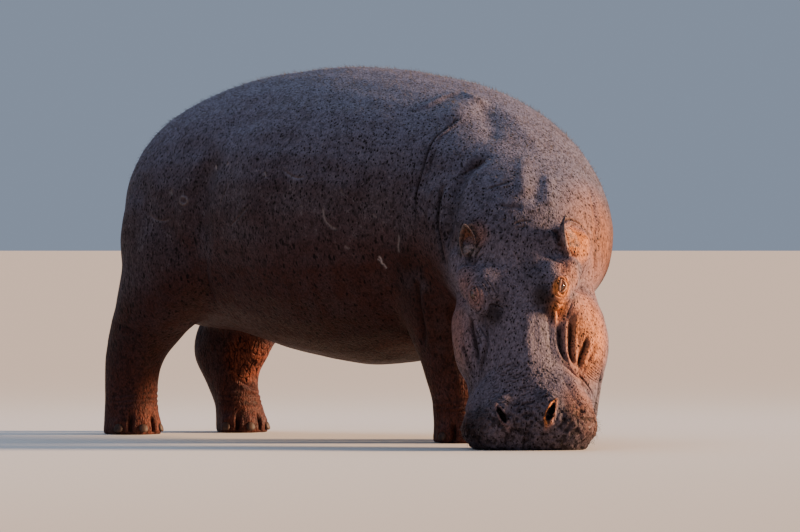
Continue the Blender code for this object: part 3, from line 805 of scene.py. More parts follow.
# The lids are laid over the eyeball: inside the opening the skin dips under it.
# Each ring round the opening is a distance, a width and a lift.
eyeSet = dict(
    sunlitWarmth={"eye_left": 1.0, "eye_right": 0.20}, radius=0.0235, lookAhead=0.38, lookOut=0.62, lookUp=0.72,
    long=0.0235, tall=0.0095, lid=0.0048, dip=0.004, bulge=0.0016, bulgeWide=0.013, iris=(0.0185, 0.0165),
    pupil=(0.0075, 0.0032), net=(64, 48),
    rings=[(0.0080, 0.0028, -0.0020), (0.0130, 0.0042, 0.0032), (0.0195, 0.0030, -0.0020),
           (0.0265, 0.0065, 0.0030), (0.0360, 0.0060, -0.0016)],
)


def eyeAxes(name):
    side = 1 if name.endswith("left") else -1
    out = headTurn @ Vector((eyeSet["lookAhead"], eyeSet["lookOut"] * side, eyeSet["lookUp"])).normalized()
    along = headTurn @ Vector((1, 0, 0))
    along = (along - out * along.dot(out)).normalized()
    return middleOf(name), along, out.cross(along) * side, out


def workEyes(clay):
    for name in ("eye_left", "eye_right"):
        centre, along, across, out = (np.array(axis) for axis in eyeAxes(name))
        gap = clay.places - centre
        p, q, o = gap @ along, gap @ across, gap @ out
        far = np.linalg.norm(gap, axis=1)
        facing = eased(o / np.maximum(far, 1e-6), -0.25, 0.15)
        margin = np.abs(q) * np.where(q > 0, 1.0, 1.15) - eyeSet["tall"] * (1 - (p / eyeSet["long"]) ** 2)
        margin = np.where(np.abs(p) > eyeSet["long"], np.hypot(np.abs(p) - eyeSet["long"], q), margin)
        lidRadius = eyeSet["radius"] + eyeSet["lid"] * eased(margin, -0.0012, 0.0016) - eyeSet["dip"] * eased(
            margin, 0.0006, -0.0016)
        near = eased(far, 0.052, 0.030) * facing * eased(margin, 0.013, 0.006)
        wanted = lidRadius[:, None] * gap / np.maximum(far, 1e-6)[:, None] + centre
        clay.places += (wanted - clay.places) * near[:, None]
        ring = np.zeros(len(far))
        reach = np.hypot(p / 1.35, q)
        for spot, width, lift in eyeSet["rings"]:
            ring += lift * np.exp(-((margin - spot) / width) ** 2)
        ring *= eased(reach, 0.055, 0.030) * facing * eased(margin, 0.004, 0.007)
        clay.places += clay.normals * ring[:, None]
        # Pink lids with painted sunlight, much stronger on the sunlit left eye.
        clay.deepen("blushAndSunlight", eased(reach, 0.062, 0.022) * facing * eyeSet["sunlitWarmth"][name])
        # A pale lid edge, partly the lid's own colour and partly a painted highlight on the sunlit left eye.
        lidPale = np.exp(-((margin - 0.0035) / 0.0024) ** 2) * facing * (far < 0.045)
        clay.deepen("paleLine", lidPale * 0.65 * eyeSet["sunlitWarmth"][name])
        # Painted shade in the grooves between the rings and in the opening under the lids.
        ringShade = np.exp(-((margin - 0.0080) / 0.0022) ** 2) + 0.55 * np.exp(-((margin - 0.0195) / 0.0026) ** 2)
        clay.deepen("creaseShade", ringShade * 0.70 * eased(reach, 0.050, 0.030) * facing)
        clay.deepen("creaseShade", eased(margin, 0.0012, -0.001) * facing * (far < 0.04))
        clay.write()


# The notch between the nose and each cheek gets a floor, a taut sheet for the folds to be cut in.
valleySet = dict(rows=(0.215, 0.560, 24), columns=(0.090, 0.310, 23), startHigh=0.170, startLow=0.098,
                 turnHigh=0.290, turnLow=0.350, lowest=-0.225, sag=0.003,
                 soft=(0.39, 0.190, -0.09), softRadii=(0.20, 0.085, 0.090), softRounds=14)


def topAt(clay, along, side):
    start = headPoint((along, side, 0.15))
    spot, _, _, _ = clay.tree.ray_cast(start, -(headTurn @ Vector((0, 0, 1))), 0.6)
    return -0.40 if spot is None else (headTurn.transposed() @ (spot - headAt)).z


def tautOver(spots, heights):
    hull = []
    for spot, height in zip(spots, heights):
        while len(hull) > 1 and ((hull[-1][0] - hull[-2][0]) * (height - hull[-2][1])
                                 >= (hull[-1][1] - hull[-2][1]) * (spot - hull[-2][0])):
            hull.pop()
        hull.append((spot, height))
    return np.interp(spots, [point[0] for point in hull], [point[1] for point in hull])


def gridValue(grid, rows, columns, first, second):
    a = np.clip((first - rows[0]) / (rows[1] - rows[0]), 0, len(rows) - 1.001)
    b = np.clip((second - columns[0]) / (columns[1] - columns[0]), 0, len(columns) - 1.001)
    i, j = a.astype(int), b.astype(int)
    a, b = a - i, b - j
    return ((grid[i, j] * (1 - b) + grid[i, j + 1] * b) * (1 - a)
            + (grid[i + 1, j] * (1 - b) + grid[i + 1, j + 1] * b) * a)


def fillValleys(clay):
    rows, columns = np.linspace(*valleySet["rows"]), np.linspace(*valleySet["columns"])
    for side in (1, -1):
        grid = np.empty((len(rows), len(columns)))
        for i, along in enumerate(rows):
            heights = np.array([topAt(clay, along, column * side) for column in columns])
            turn = float(eased(along, valleySet["turnHigh"], valleySet["turnLow"]))
            start = valleySet["startHigh"] + (valleySet["startLow"] - valleySet["startHigh"]) * turn
            taken = columns >= start
            heights[taken] = tautOver(columns[taken], heights[taken])
            grid[i] = heights
        for _ in range(2):
            grid[1:-1] = (grid[:-2] + 2 * grid[1:-1] + grid[2:]) / 4
        local = headLocal(clay.places)
        across = local[:, 1] * side
        wanted = gridValue(grid, rows, columns, local[:, 0], across) - valleySet["sag"]
        share = (eased(local[:, 0], rows[0], rows[0] + 0.04) * eased(local[:, 0], rows[-1], rows[-1] - 0.05)
                 * eased(across, columns[0] - 0.004, columns[0] + 0.014)
                 * eased(across, columns[-1], columns[-1] - 0.02) * (local[:, 2] > valleySet["lowest"]))
        clay.places += headMatrix[:, 2][None] * (np.maximum(wanted - local[:, 2], 0) * share)[:, None]
    soft = np.zeros(len(clay.places))
    local = headLocal(clay.places)
    for side in (1, -1):
        far = farOff(local - np.array(valleySet["soft"]) * (1, side, 1), valleySet["softRadii"])
        soft = np.maximum(soft, eased(far, 1.0, 0.7))
    clay.places = relaxed(clay.places, clay.edges, valleySet["softRounds"], 0.5 * soft)
    clay.write()
    clay.read()


# Lumps and hollows of the head: place, radii, then the lift on the left and on the right.
headLumps = {
    "besideEye": ((0.275, 0.212, -0.085), (0.120, 0.060, 0.090), 0.026, 0.010),
    "underEye": ((0.345, 0.190, -0.110), (0.120, 0.070, 0.080), 0.016, 0.006),
    "betweenEyes": ((0.215, 0.065, 0.000), (0.120, 0.055, 0.060), 0.012, 0.012),
    "browInner": ((0.150, 0.120, -0.010), (0.090, 0.070, 0.060), 0.010, 0.010),
    "temple": ((0.085, 0.175, -0.030), (0.080, 0.060, 0.070), 0.010, 0.010),
    "browOuter": ((0.130, 0.215, -0.040), (0.080, 0.060, 0.070), 0.008, 0.012),
    "cheekBulge": ((0.380, 0.280, -0.230), (0.180, 0.100, 0.170), 0.010, -0.004),
    "jawSide": ((0.500, 0.262, -0.200), (0.120, 0.100, 0.150), 0.0, -0.034),
    "nostrilTop": ((0.690, 0.095, -0.010), (0.090, 0.070, 0.050), 0.006, 0.001),
    "eyeHollow": ((0.298, 0.096, -0.008), (0.056, 0.040, 0.050), -0.016, -0.016),
    "shelf": ((0.440, 0.100, -0.045), (0.190, 0.072, 0.090), -0.003, -0.003),
    "earPad": ((0.008, 0.252, -0.098), (0.080, 0.050, 0.065), 0.013, 0.0),
    "crown": ((0.040, 0.085, 0.005), (0.110, 0.080, 0.060), 0.010, 0.004),
}


def workHeadLumps(clay):
    for (along, side, up), radii, *lifts in headLumps.values():
        for mirror, lift in zip((1, -1), lifts):
            clay.lump(headPoint((along, side * mirror, up)), radii, lift)
    local = headLocal(clay.places)
    tuck = (eased(-local[:, 1], 0.185, 0.290) * eased(local[:, 0], 0.20, 0.36)
            * eased(local[:, 0], 0.64, 0.52) * inHead(clay.places))
    tuck = tuck * (0.020 + 0.010 * eased(local[:, 0], 0.36, 0.50))
    clay.places += headMatrix[:, 1][None] * tuck[:, None]
    clay.write()
    clay.read()
    fillValleys(clay)


# Lumps of the body, and the heel of the far hind foot, which is drawn in from behind.
bodyLumps = {
    "kneeFront": ((-0.880, 0.330, 0.320), (0.100, 0.130, 0.100), 0.020),
    "bladeTop": ((0.500, -0.090, 1.330), (0.110, 0.110, 0.090), 0.012),
    "haunch": ((-0.860, -0.290, 0.940), (0.230, 0.200, 0.330), 0.012),
    "hipTop": ((-0.760, -0.180, 1.230), (0.200, 0.150, 0.120), 0.010),
    "loinHollow": ((-0.450, -0.250, 1.270), (0.200, 0.180, 0.180), -0.020),
    "shoulderMass": ((0.560, -0.330, 1.130), (0.110, 0.120, 0.200), 0.010),
}


heelSet = dict(foot="hind_left", way=(0.819, 0.574, 0), behind=(0.045, 0.125), height=(0.32, 0.12),
               pull=0.026)


def workBodyLumps(clay):
    for centre, radii, lift in bodyLumps.values():
        clay.lump(bodyPoint(centre), radii, lift, turn=np.eye(3))
    centre, _ = feet[heelSet["foot"]]
    x, y, z = clay.places.T
    ahead, leftward, _ = heelSet["way"]
    rear = -((x - centre.x) * ahead + (y - centre.y) * leftward)
    pull = eased(rear, *heelSet["behind"]) * eased(z, *heelSet["height"]) * (rear < 0.3) * (y > 0.10)
    pull = heelSet["pull"] * pull * (nearFoot(clay.places, 0.20, 0.30) > 0)
    clay.places += np.array(heelSet["way"])[None] * pull[:, None]
    clay.write()


def workEars(clay):
    for name in earSet["poses"]:
        height, _, spread, (axis, _, _) = fromEar(name, clay.places)
        upward = eased(clay.normals @ axis, 0.2, 0.6)
        hollow = (eased(spread, earSet["bowl"], earSet["bowl"] * 0.45)
                  * eased(np.abs(height - 0.015), 0.045, 0.030))
        clay.places -= (axis * earSet["bowl"])[None] * (hollow * upward)[:, None]
        # Painted shade in the ear's bowl.
        clay.deepen("creaseShade", hollow * upward * 0.8)
    clay.write()


def workFolds(clay, table, place):
    for made in table.values():
        values = dict(made)
        points = [place(point) for point in values.pop("points")]
        clay.fold(points, **values)
    clay.write()


# Old scars and pale nicks on the flank.
scars = {
    "nickA": groove(6, 2, [(-567, -343, 1085), (-550, -353, 1069)], pale=0.7),
    "nickB": groove(6, 2, [(-487, -384, 1084), (-470, -387, 1096)], pale=0.4),
    "nickC": groove(5.5, 2, [(-246, -458, 1062), (-228, -469, 1035)], pale=0.35),
    "nickD": groove(7, 2, [(-812, -309, 990), (-798, -315, 966)], pale=0.4),
    "ringWound": groove(5.5, -3, [(-739, -334, 962), (-709, -347, 958), (-701, -351, 942),
        (-722, -343, 930), (-744, -333, 942), (-739, -334, 962)], pale=0.26, start=0.0, end=0.0),
    "whiteNick": groove(4.5, 2, [(276, -420, 732), (286, -411, 716), (283, -409, 704),
        (296, -400, 690)], pale=0.9),
    "whiteNickB": groove(4.5, 1, [(289, -405, 702), (300, -396, 679)], pale=0.7),
    "whiteNickC": groove(4, 1, [(270, -422, 718), (281, -414, 708)], pale=0.5),
    "whiteLine": groove(5, 1, [(385, -440, 819), (387, -436, 792), (378, -430, 769),
        (377, -422, 738)], pale=0.4),
    "arcA": groove(5.5, 2, [(64, -486, 928), (61, -487, 901), (69, -486, 869), (95, -481, 842),
        (129, -475, 831)], pale=0.34),
    "arcB": groove(6, 2, [(-150, -463, 1070), (-121, -470, 1050), (-73, -475, 1034),
        (-31, -473, 1038)], pale=0.12),
    "arcC": groove(6, 2, [(-946, -286, 898), (-901, -298, 874), (-848, -308, 866),
        (-793, -321, 878)], pale=0.12),
    "dotA": groove(6.5, 1, [(143, -462, 768), (166, -454, 757)], pale=0.25),
    "dotB": groove(5.5, 1, [(-47, -491, 928), (-32, -491, 916)], pale=0.17),
    "dotC": groove(5.5, 1, [(271, -453, 893), (292, -449, 877)], pale=0.17),
    "scuffA": groove(5.5, 1, [(132, -473, 986), (151, -472, 963)], pale=0.15),
    "lineD": groove(5.5, 2, [(-441, -420, 1028), (-481, -418, 949), (-506, -411, 870)], pale=0.1),
    "lineE": groove(5.5, 2, [(-303, -473, 929), (-377, -453, 878), (-439, -429, 838)], pale=0.1),
}


def mirrored(table, names):
    made = {}
    for name in names:
        values = dict(table[name])
        values["points"] = [(x, 0.38 - y, z) for x, y, z in values["points"]]
        values["right"], values["left"] = values.get("left", 0.0), values.get("right", 0.0)
        values["dark"] = values.get("dark", 0.0) * 0.45
        made[name + "Far"] = values
    return made


# The front of the far hind leg is cracked into upright ridges, with painted shade in the cracks and an orange
# rust tone that is partly painted low sunlight.
crackedLegSet = dict(middle=(-0.895, 0.315, 0.300), radii=(0.110, 0.150, 0.135), reach=0.150, size=0.0125,
               long=0.36, sway=0.006, high=0.0025, deep=0.0055)


def workCracks(clay):
    share = eased(farOff(clay.places - np.array(bodyPoint(crackedLegSet["middle"])), crackedLegSet["radii"]), 1.0, 0.55)
    spots = clay.places * np.array((1, 1, crackedLegSet["long"]))
    sway = np.stack([waver(clay.places + shift, 0.030) for shift in (0.0, 2.7, 5.1)], axis=1)
    spots = spots + sway * crackedLegSet["sway"]
    gap = np.abs(waver(spots, crackedLegSet["size"]))
    cut = eased(gap, 0.26, 0.02)
    clay.places += clay.normals * ((crackedLegSet["high"] - cut * crackedLegSet["deep"]) * share)[:, None]
    # Painted shade in the cracks; the orange tone is partly the skin's own and partly painted sunlight.
    clay.deepen("creaseShade", cut * share * 0.75)
    clay.deepen("rustAndSunlight", share)
    clay.write()


def workFeet(clay):
    for centre, forward in feet.values():
        turn = math.atan2(forward.y, forward.x)
        for angle in footSet["creaseAngles"]:
            way = turn + math.radians(angle)
            out = Vector((math.cos(way), math.sin(way), 0))
            base = Vector((centre.x, centre.y, 0))
            points = [base + out * reach + Vector((0, 0, height)) for reach, height in footSet["steps"]]
            clay.fold(points, **footSet["creaseShade"])
        for height, depth in footSet["bands"]:
            points, reach = [], footSet["bandReach"]
            for angle in footSet["bandAngles"]:
                way = turn + math.radians(angle)
                points.append(Vector((centre.x + math.cos(way) * reach, centre.y + math.sin(way) * reach,
                                      height + footSet["bandTilt"] * math.cos(math.radians(angle)))))
            clay.fold(points, depth=depth, **footSet["band"])
    clay.write()


def makeSkin():
    mesh = largestPart(remeshed(fleshTogether(), skinSet["cell"]))
    say(f"fused the flesh: {len(mesh.vertices)} points")
    calmed(mesh)
    refined(mesh, headOrFoot)
    refined(mesh, faceFront)
    refined(mesh, closeTo([middleOf("eye_left"), middleOf("eye_right")], skinSet["closeEyes"]))
    refined(mesh, closeToLines([bodyFolds, scars], skinSet["closeFolds"]))
    refined(mesh, closeToLines([scars], skinSet["closeScars"]))
    for _ in range(2):
        refined(mesh, closeTo([bodyPoint(crackedLegSet["middle"])], crackedLegSet["reach"]))
    say(f"closer net at the head and feet: {len(mesh.vertices)} points")
    for name in earSet["poses"]:
        mesh = joinedByCut(mesh, earMesh(name))
    say(f"ears joined on: {len(mesh.vertices)} points")
    clay = Clay(mesh)
    soften = np.zeros(len(clay.places))
    for name in earSet["poses"]:
        height, _, spread, _ = fromEar(name, clay.places)
        soften = np.maximum(soften, eased(np.abs(height - 0.012), 0.035, 0.010) * eased(spread, 0.062, 0.045))
    clay.places = relaxed(clay.places, clay.edges, 10, 0.5 * soften)
    clay.write()
    workEars(clay)
    workBodyLumps(clay)
    workHeadLumps(clay)
    workFolds(clay, bodyFolds, bodyPoint)
    farNames = ["shoulderFold", "flankTrough", "flankFold", "armpitFold"]
    workFolds(clay, mirrored(bodyFolds, farNames), bodyPoint)
    workFolds(clay, scars, bodyPoint)
    workFolds(clay, headFolds, headPoint)
    workLines(clay)
    workFolds(clay, mouthFolds, headPoint)
    say("folds worked")
    workCracks(clay)
    workNostrils(clay)
    workEyes(clay)
    workMuzzle(clay)
    workFeet(clay)
    say("eyes, nostrils and feet worked")
    body = 1 - np.clip(inHead(clay.places) + nearFoot(clay.places, *footSet["near"]), 0, 1)
    wide, fine = (waver(clay.places + shift, size) * high for shift, size, high in skinSet["swells"])
    swell = wide * body + fine * (0.4 + 0.6 * body)
    clay.places = keepSoles(clay.places + clay.normals * swell[:, None])
    clay.write()
    return clay


# Painted marks: place, radii, strength. The pads are pink skin with painted sunlight and the hollows painted
# shade, on the head; the body marks are painted sunlight and shade.
# Pink skin that also carries painted sunlight: strongest on the sunlit left of the head, weak on the shaded
# right.
blushAndSunPads = {
    "behindEarLeft": ((0.035, 0.236, -0.050), (0.108, 0.080, 0.092), 1.0),
    "behindEarRight": ((-0.010, -0.150, 0.010), (0.070, 0.060, 0.060), 0.22),
    "cheekLeft": ((0.400, 0.235, -0.135), (0.230, 0.115, 0.150), 0.80),
    "cheekRight": ((0.330, -0.260, -0.160), (0.200, 0.110, 0.140), 0.24),
    "browLeft": ((0.190, 0.190, -0.020), (0.090, 0.060, 0.060), 0.50),
    "browRight": ((0.190, -0.190, -0.020), (0.090, 0.060, 0.060), 0.18),
    "underEyeLeft": ((0.320, 0.150, -0.030), (0.085, 0.058, 0.070), 0.90),
    "neckLeft": ((-0.020, 0.330, -0.200), (0.330, 0.200, 0.360), 0.32),
    "muzzleLeft": ((0.700, 0.210, -0.110), (0.140, 0.090, 0.140), 0.26),
    "muzzleRight": ((0.720, -0.230, -0.160), (0.120, 0.060, 0.120), 0.14),
}

# Painted shade in the hollows by the eyes, and the brow's painted shadow on the forehead.
paintedShadeHollows = {
    "left": ((0.280, 0.096, 0.002), (0.092, 0.060, 0.060), 0.95),
    "leftLow": ((0.322, 0.104, -0.025), (0.056, 0.036, 0.050), 0.80),
    "right": ((0.320, -0.100, -0.030), (0.066, 0.062, 0.060), 0.85),
    "rightOuter": ((0.336, -0.130, -0.046), (0.060, 0.056, 0.060), 0.55),
    "rightInner": ((0.292, -0.066, -0.010), (0.050, 0.050, 0.050), 0.40),
    "forehead": ((0.160, 0.052, 0.004), (0.130, 0.060, 0.060), 0.30),
}

# Body marks: orange tone as painted sunlight on the near hind foot and under the belly's front, and painted
# shade behind the foreleg.
bodySunAndShade = {
    "footInner": ("rustAndSunlight", (-1.065, -0.115, 0.100), (0.080, 0.110, 0.210), 0.75),
    "bellyFront": ("rustAndSunlight", (0.220, -0.060, 0.370), (0.260, 0.220, 0.080), 0.32),
    "behindLeg": ("creaseShade", (0.400, -0.380, 0.640), (0.120, 0.140, 0.260), 0.38),
}

markSet = dict(
    legs=(0.62, 0.30), belly=(0.10, -0.55), low=(0.95, 0.45), slits=(1.02, 0.74, 0.20, 0.42),
    lowRustAndSun=(0.36, 0.10),
    earInside=(0.018, 0.15, 0.046), earEdge=(-0.34, -0.10), earTip=(0.128, 0.142), muzzle=(0.61, 0.60, 0.78),
)


def leaveMarks(clay):
    local = headLocal(clay.places)
    z = clay.places[:, 2]
    face = inHead(clay.places, -0.06, 0.10)
    up = clay.normals[:, 2]
    legs = eased(z, *markSet["legs"]) * (1 - face)
    # Ruddy legs and lower body; downward faces under the belly are painted darker as shade. Redder and darker
    # towards the bottom.
    belly = eased(up, *markSet["belly"]) * (1 - face)
    ruddyAndUnderShade = np.clip(legs * 0.95 + belly * 0.9 + eased(z, *markSet["low"]) * 0.42 * (1 - face), 0, 1)
    for centre, radii, amount in blushAndSunPads.values():
        clay.deepen("blushAndSunlight", amount * eased(farOff(local - np.array(centre), radii), 1.15, 0.25))
    rows = np.array(earSet["rows"])
    low, high, wide = markSet["earInside"]
    for name, pose in earSet["poses"].items():
        height, level, spread, (_, across, back) = fromEar(name, clay.places)
        inner = eased(-(clay.normals * level).sum(1), 0.0, 0.012)
        on = (height > low) & (height < high) & (spread < wide)
        closes = np.radians(np.interp(height, rows[:, 0], rows[:, 2]) * pose["close"])
        turn = np.abs(np.arctan2(level @ across, level @ back))
        edge = eased(turn - closes, *markSet["earEdge"]) + eased(height, *markSet["earTip"])
        # Inside the cup: pink skin, and painted shade that deepens towards its base.
        shade = inner * (0.30 + 0.45 * eased(height, 0.070, 0.025)) * (1 - edge)
        clay.deepen("blushAndSunlight", inner[on] * 0.28, on)
        clay.deepen("creaseShade", shade[on], on)
        clay.deepen("paleLine", np.clip(edge[on], 0, 1) * 0.30, on)
    for centre, radii, amount in paintedShadeHollows.values():
        clay.deepen("creaseShade", amount * eased(farOff(local - np.array(centre), radii), 1.0, 0.30))
    # Orange rust tone on the lower legs, partly the skin's own and partly painted sunlight.
    clay.deepen("rustAndSunlight", eased(z, *markSet["lowRustAndSun"]) * 0.26 * (1 - face))
    for name, centre, radii, amount in bodySunAndShade.values():
        clay.deepen(name, amount * eased(farOff(clay.places - np.array(bodyPoint(centre)), radii), 1.0, 0.3))
    above, full, low, lowFull = markSet["slits"]
    clay.marks["slits"] = eased(z, above, full) * eased(z, low, lowFull) * (1 - face)
    clay.marks["ruddyAndUnderShade"] = ruddyAndUnderShade
    clay.marks["face"] = face
    # Upward faces get a blue-grey: the back's own slate tone and a painted sheen of the sky.
    clay.marks["slateAndSkySheen"] = eased(up, 0.05, 0.75) * (1 - face * 0.6)
    clay.marks["crackle"] = np.clip(legs * 0.30, 0, 1)
    rim = np.maximum(eased(local[:, 2], -0.02, -0.11), eased(np.abs(local[:, 1]), 0.11, 0.17))
    start, rimStart, full = markSet["muzzle"]
    snout = eased(local[:, 0], start, full) * 0.35 + eased(local[:, 0], rimStart, full) * rim * 0.65
    clay.marks["muzzle"] = snout * face
    for name, values in clay.marks.items():
        layer = clay.mesh.attributes.new(name, "FLOAT", "POINT")
        layer.data.foreach_set("value", values.astype(np.float32))


# Shader work: a Signal wraps one socket, so that masks and blends read as sums.
class Signal:
    def __init__(self, socket):
        self.socket = socket

    def sum(self, operation, first, second):
        node = self.socket.id_data.nodes.new("ShaderNodeMath")
        node.operation = operation
        for slot, value in zip(node.inputs, (first, second)):
            if isinstance(value, Signal):
                self.socket.id_data.links.new(value.socket, slot)
            else:
                slot.default_value = value
        return Signal(node.outputs[0])

    def __add__(self, other):
        return self.sum("ADD", self, other)

    def __radd__(self, other):
        return self.sum("ADD", other, self)

    def __sub__(self, other):
        return self.sum("SUBTRACT", self, other)

    def __rsub__(self, other):
        return self.sum("SUBTRACT", other, self)

    def __mul__(self, other):
        return self.sum("MULTIPLY", self, other)

    def __rmul__(self, other):
        return self.sum("MULTIPLY", other, self)


class Finish:
    def __init__(self, name, **plain):
        self.material = bpy.data.materials.new(name)
        self.material.use_nodes = True
        self.tree = self.material.node_tree
        self.shader = self.tree.nodes["Principled BSDF"]
        for key, value in plain.items():
            self.shader.inputs[key].default_value = value

    def add(self, kind, settings=None, inputs=None, output=0):
        node = self.tree.nodes.new("ShaderNode" + kind)
        for key, value in (settings or {}).items():
            setattr(node, key, value)
        for key, value in (inputs or {}).items():
            if isinstance(value, Signal):
                self.tree.links.new(value.socket, node.inputs[key])
            else:
                node.inputs[key].default_value = value
        return Signal(node.outputs[output])

    def feed(self, key, signal):
        self.tree.links.new(signal.socket, self.shader.inputs[key])

    def place(self):
        return self.add("TexCoord", output=3)

    def mark(self, name):
        return self.add("Attribute", dict(attribute_name=name), output=2)

    def larger(self, first, second):
        return self.add("Math", dict(operation="MAXIMUM"), {0: first, 1: second})

    def mix(self, share, first, second):
        first, second = ((*value, 1) if isinstance(value, tuple) and len(value) == 3 else value
                         for value in (first, second))
        return self.add("Mix", dict(data_type="RGBA"), {0: share, 6: first, 7: second}, output=2)

    def between(self, value, start, end, low=0.0, high=1.0):
        return self.add("MapRange", dict(interpolation_type="SMOOTHSTEP"),
                        {0: value, 1: start, 2: end, 3: low, 4: high})

    def noise(self, place, scale, detail=3.0, roughness=0.5):
        return self.add("TexNoise", inputs={
            "Vector": place, "Scale": scale, "Detail": detail, "Roughness": roughness})

    def cells(self, place, scale, feature="F1"):
        return self.add("TexVoronoi", dict(feature=feature), {"Vector": place, "Scale": scale})

    def stretched(self, place, factors):
        return self.add("Mapping", inputs={"Vector": place, "Scale": factors})


skinColours = dict(
    brown=(0.054, 0.034, 0.039), grey=(0.080, 0.062, 0.074), slateAndSkySheen=(0.138, 0.132, 0.190),
    ruddyAndUnderShade=(0.050, 0.016, 0.012), rustAndSunlight=(0.170, 0.044, 0.022), face=(0.146, 0.122, 0.160),
    blushAndSunlight=(0.620, 0.205, 0.052),
    dark=(0.005, 0.003, 0.003), muzzle=(0.022, 0.012, 0.011), paleLine=(0.34, 0.28, 0.27),
    light=(0.36, 0.31, 0.33),
)


# Relief is in millimetres; the sizes are the number of cells or waves to a metre.
hideSet = dict(
    blotch=3.5, mottle=14.0, grainy=70.0, sway=45.0, swayWide=0.012,
    pores=(71.0, 98.0), slits=42.0, pebble=140.0, knots=58.0, wrinkles=34.0, grain=260.0, plates=60.0,
    largeEdge=(0.31, 0.21), smallEdge=(0.27, 0.14), slitEdge=(0.27, 0.16), plateEdge=(0.0, 0.16),
    tall=dict(pores=0.62, slits=0.36, knots=0.6, wrinkles=0.28, plates=0.40),
    pebbleHigh=1.5, knotHigh=2.2, poreDeep=0.8, wrinkleHigh=4.0, grainHigh=0.7, crackleHigh=3.2,
    roughness=(0.50, 0.64),
)


def hideFinish():
    made = Finish("hide", **{"Roughness": 0.5, "Specular IOR Level": 0.08})
    place = made.place()
    colours = skinColours
    blotch = made.noise(place, hideSet["blotch"], 4.0, 0.6)
    mottle = made.noise(place, hideSet["mottle"], 3.0, 0.6)
    grainy = made.noise(place, hideSet["grainy"], 3.0, 0.6)
    slateAndSkySheen, ruddyAndUnderShade, face = made.mark("slateAndSkySheen"), made.mark("ruddyAndUnderShade"), made.mark("face")
    blushAndSunlight, creaseShade, muzzle = made.mark("blushAndSunlight"), made.mark("creaseShade"), made.mark("muzzle")
    crackle, paleLine = made.mark("crackle"), made.mark("paleLine")
    sway = made.add("TexNoise", inputs={"Vector": place, "Scale": hideSet["sway"], "Detail": 2.0}, output=1)
    wobble = made.add("VectorMath", dict(operation="MULTIPLY_ADD"), {
        0: sway, 1: (hideSet["swayWide"],) * 3, 2: place})
    tall = {key: made.stretched(wobble, (1.0, 1.0, value)) for key, value in hideSet["tall"].items()}
    large, small = (made.cells(tall["pores"], size) for size in hideSet["pores"])
    pores = made.larger(made.between(large + face * 0.030, *hideSet["largeEdge"]),
                        made.between(small, *hideSet["smallEdge"]) * 0.80)
    slits = made.between(made.cells(tall["slits"], hideSet["slits"]), *hideSet["slitEdge"])
    poreMask = made.larger(pores * (1 - ruddyAndUnderShade * 0.35), slits * made.mark("slits"))
    pebble = made.cells(tall["pores"], hideSet["pebble"])
    knots = made.noise(tall["knots"], hideSet["knots"], 4.0, 0.62)
    wrinkles = made.noise(tall["wrinkles"], hideSet["wrinkles"], 3.0, 0.6)
    grain = made.noise(place, hideSet["grain"], 2.0, 0.6)
    plates = made.cells(tall["plates"], hideSet["plates"], "DISTANCE_TO_EDGE")
    cracks = made.between(plates, *hideSet["plateEdge"])

    colour = made.mix(made.between(blotch, 0.35, 0.65), colours["brown"], colours["grey"])
    # Slate tone with painted sky sheen on the upward faces.
    colour = made.mix(slateAndSkySheen * made.between(mottle, 0.2, 0.6, 0.45, 0.9), colour, colours["slateAndSkySheen"])
    # Ruddy tone, with painted shade under the belly.
    colour = made.mix(ruddyAndUnderShade * made.between(mottle, 0.25, 0.7, 0.7, 1.0), colour, colours["ruddyAndUnderShade"])
    colour = made.mix(made.mark("rustAndSunlight") * made.between(mottle, 0.25, 0.7, 0.65, 1.0), colour, colours["rustAndSunlight"])
    colour = made.mix(face * 0.8, colour, colours["face"])
    colour = made.mix(muzzle * made.between(blotch, 0.3, 0.6, 0.4, 0.95), colour, colours["muzzle"])
    # Pink skin with painted sunlight.
    colour = made.mix(blushAndSunlight * made.between(mottle, 0.3, 0.7, 0.75, 1.0), colour, colours["blushAndSunlight"])
    colour = made.mix(made.between(pebble, 0.35, 0.75, 0.0, 0.38), colour, colours["dark"])
    colour = made.mix(made.between(knots, 0.50, 0.36, 0.0, 0.48), colour, colours["dark"])
    # Pale specks, partly grain and partly painted glints.
    pale = made.between(knots, 0.58, 0.72, 0.0, 0.16) * (1 - ruddyAndUnderShade * 0.9)
    colour = made.mix(pale, colour, colours["light"])
    colour = made.mix(poreMask * 0.94, colour, colours["dark"])
    colour = made.mix((1 - cracks) * crackle * 0.8, colour, colours["dark"])
    # Pale scars, the pale lid edges and the lighter ear rims.
    colour = made.mix(paleLine * made.between(grainy, 0.30, 0.55, 0.35, 1.0), colour, colours["paleLine"])
    # Painted shade in the creases, pits and hollows.
    colour = made.mix(creaseShade * 0.85, colour, colours["dark"])
    made.feed("Base Color", colour)

    height = wrinkles * (hideSet["wrinkleHigh"] - face * 2.2) + grain * hideSet["grainHigh"]
    height = height - pebble * hideSet["pebbleHigh"] + knots * hideSet["knotHigh"]
    height = height - poreMask * hideSet["poreDeep"] + cracks * crackle * hideSet["crackleHigh"]
    bump = made.add("Bump", inputs={"Strength": 1.0, "Distance": 0.001, "Height": height})
    made.feed("Normal", bump)
    low, high = hideSet["roughness"]
    made.feed("Roughness", made.between(grainy, 0.3, 0.7, low, high) + poreMask * 0.1 + creaseShade * 0.1)
    return made.material


smallColours = dict(
    white=(0.085, 0.040, 0.030), iris=(0.060, 0.022, 0.008), pupil=(0.004, 0.003, 0.003),
    nailDark=(0.020, 0.010, 0.008), nailLight=(0.062, 0.032, 0.022),
    hairDark=(0.020, 0.014, 0.012), hairLight=(0.085, 0.062, 0.050),
)


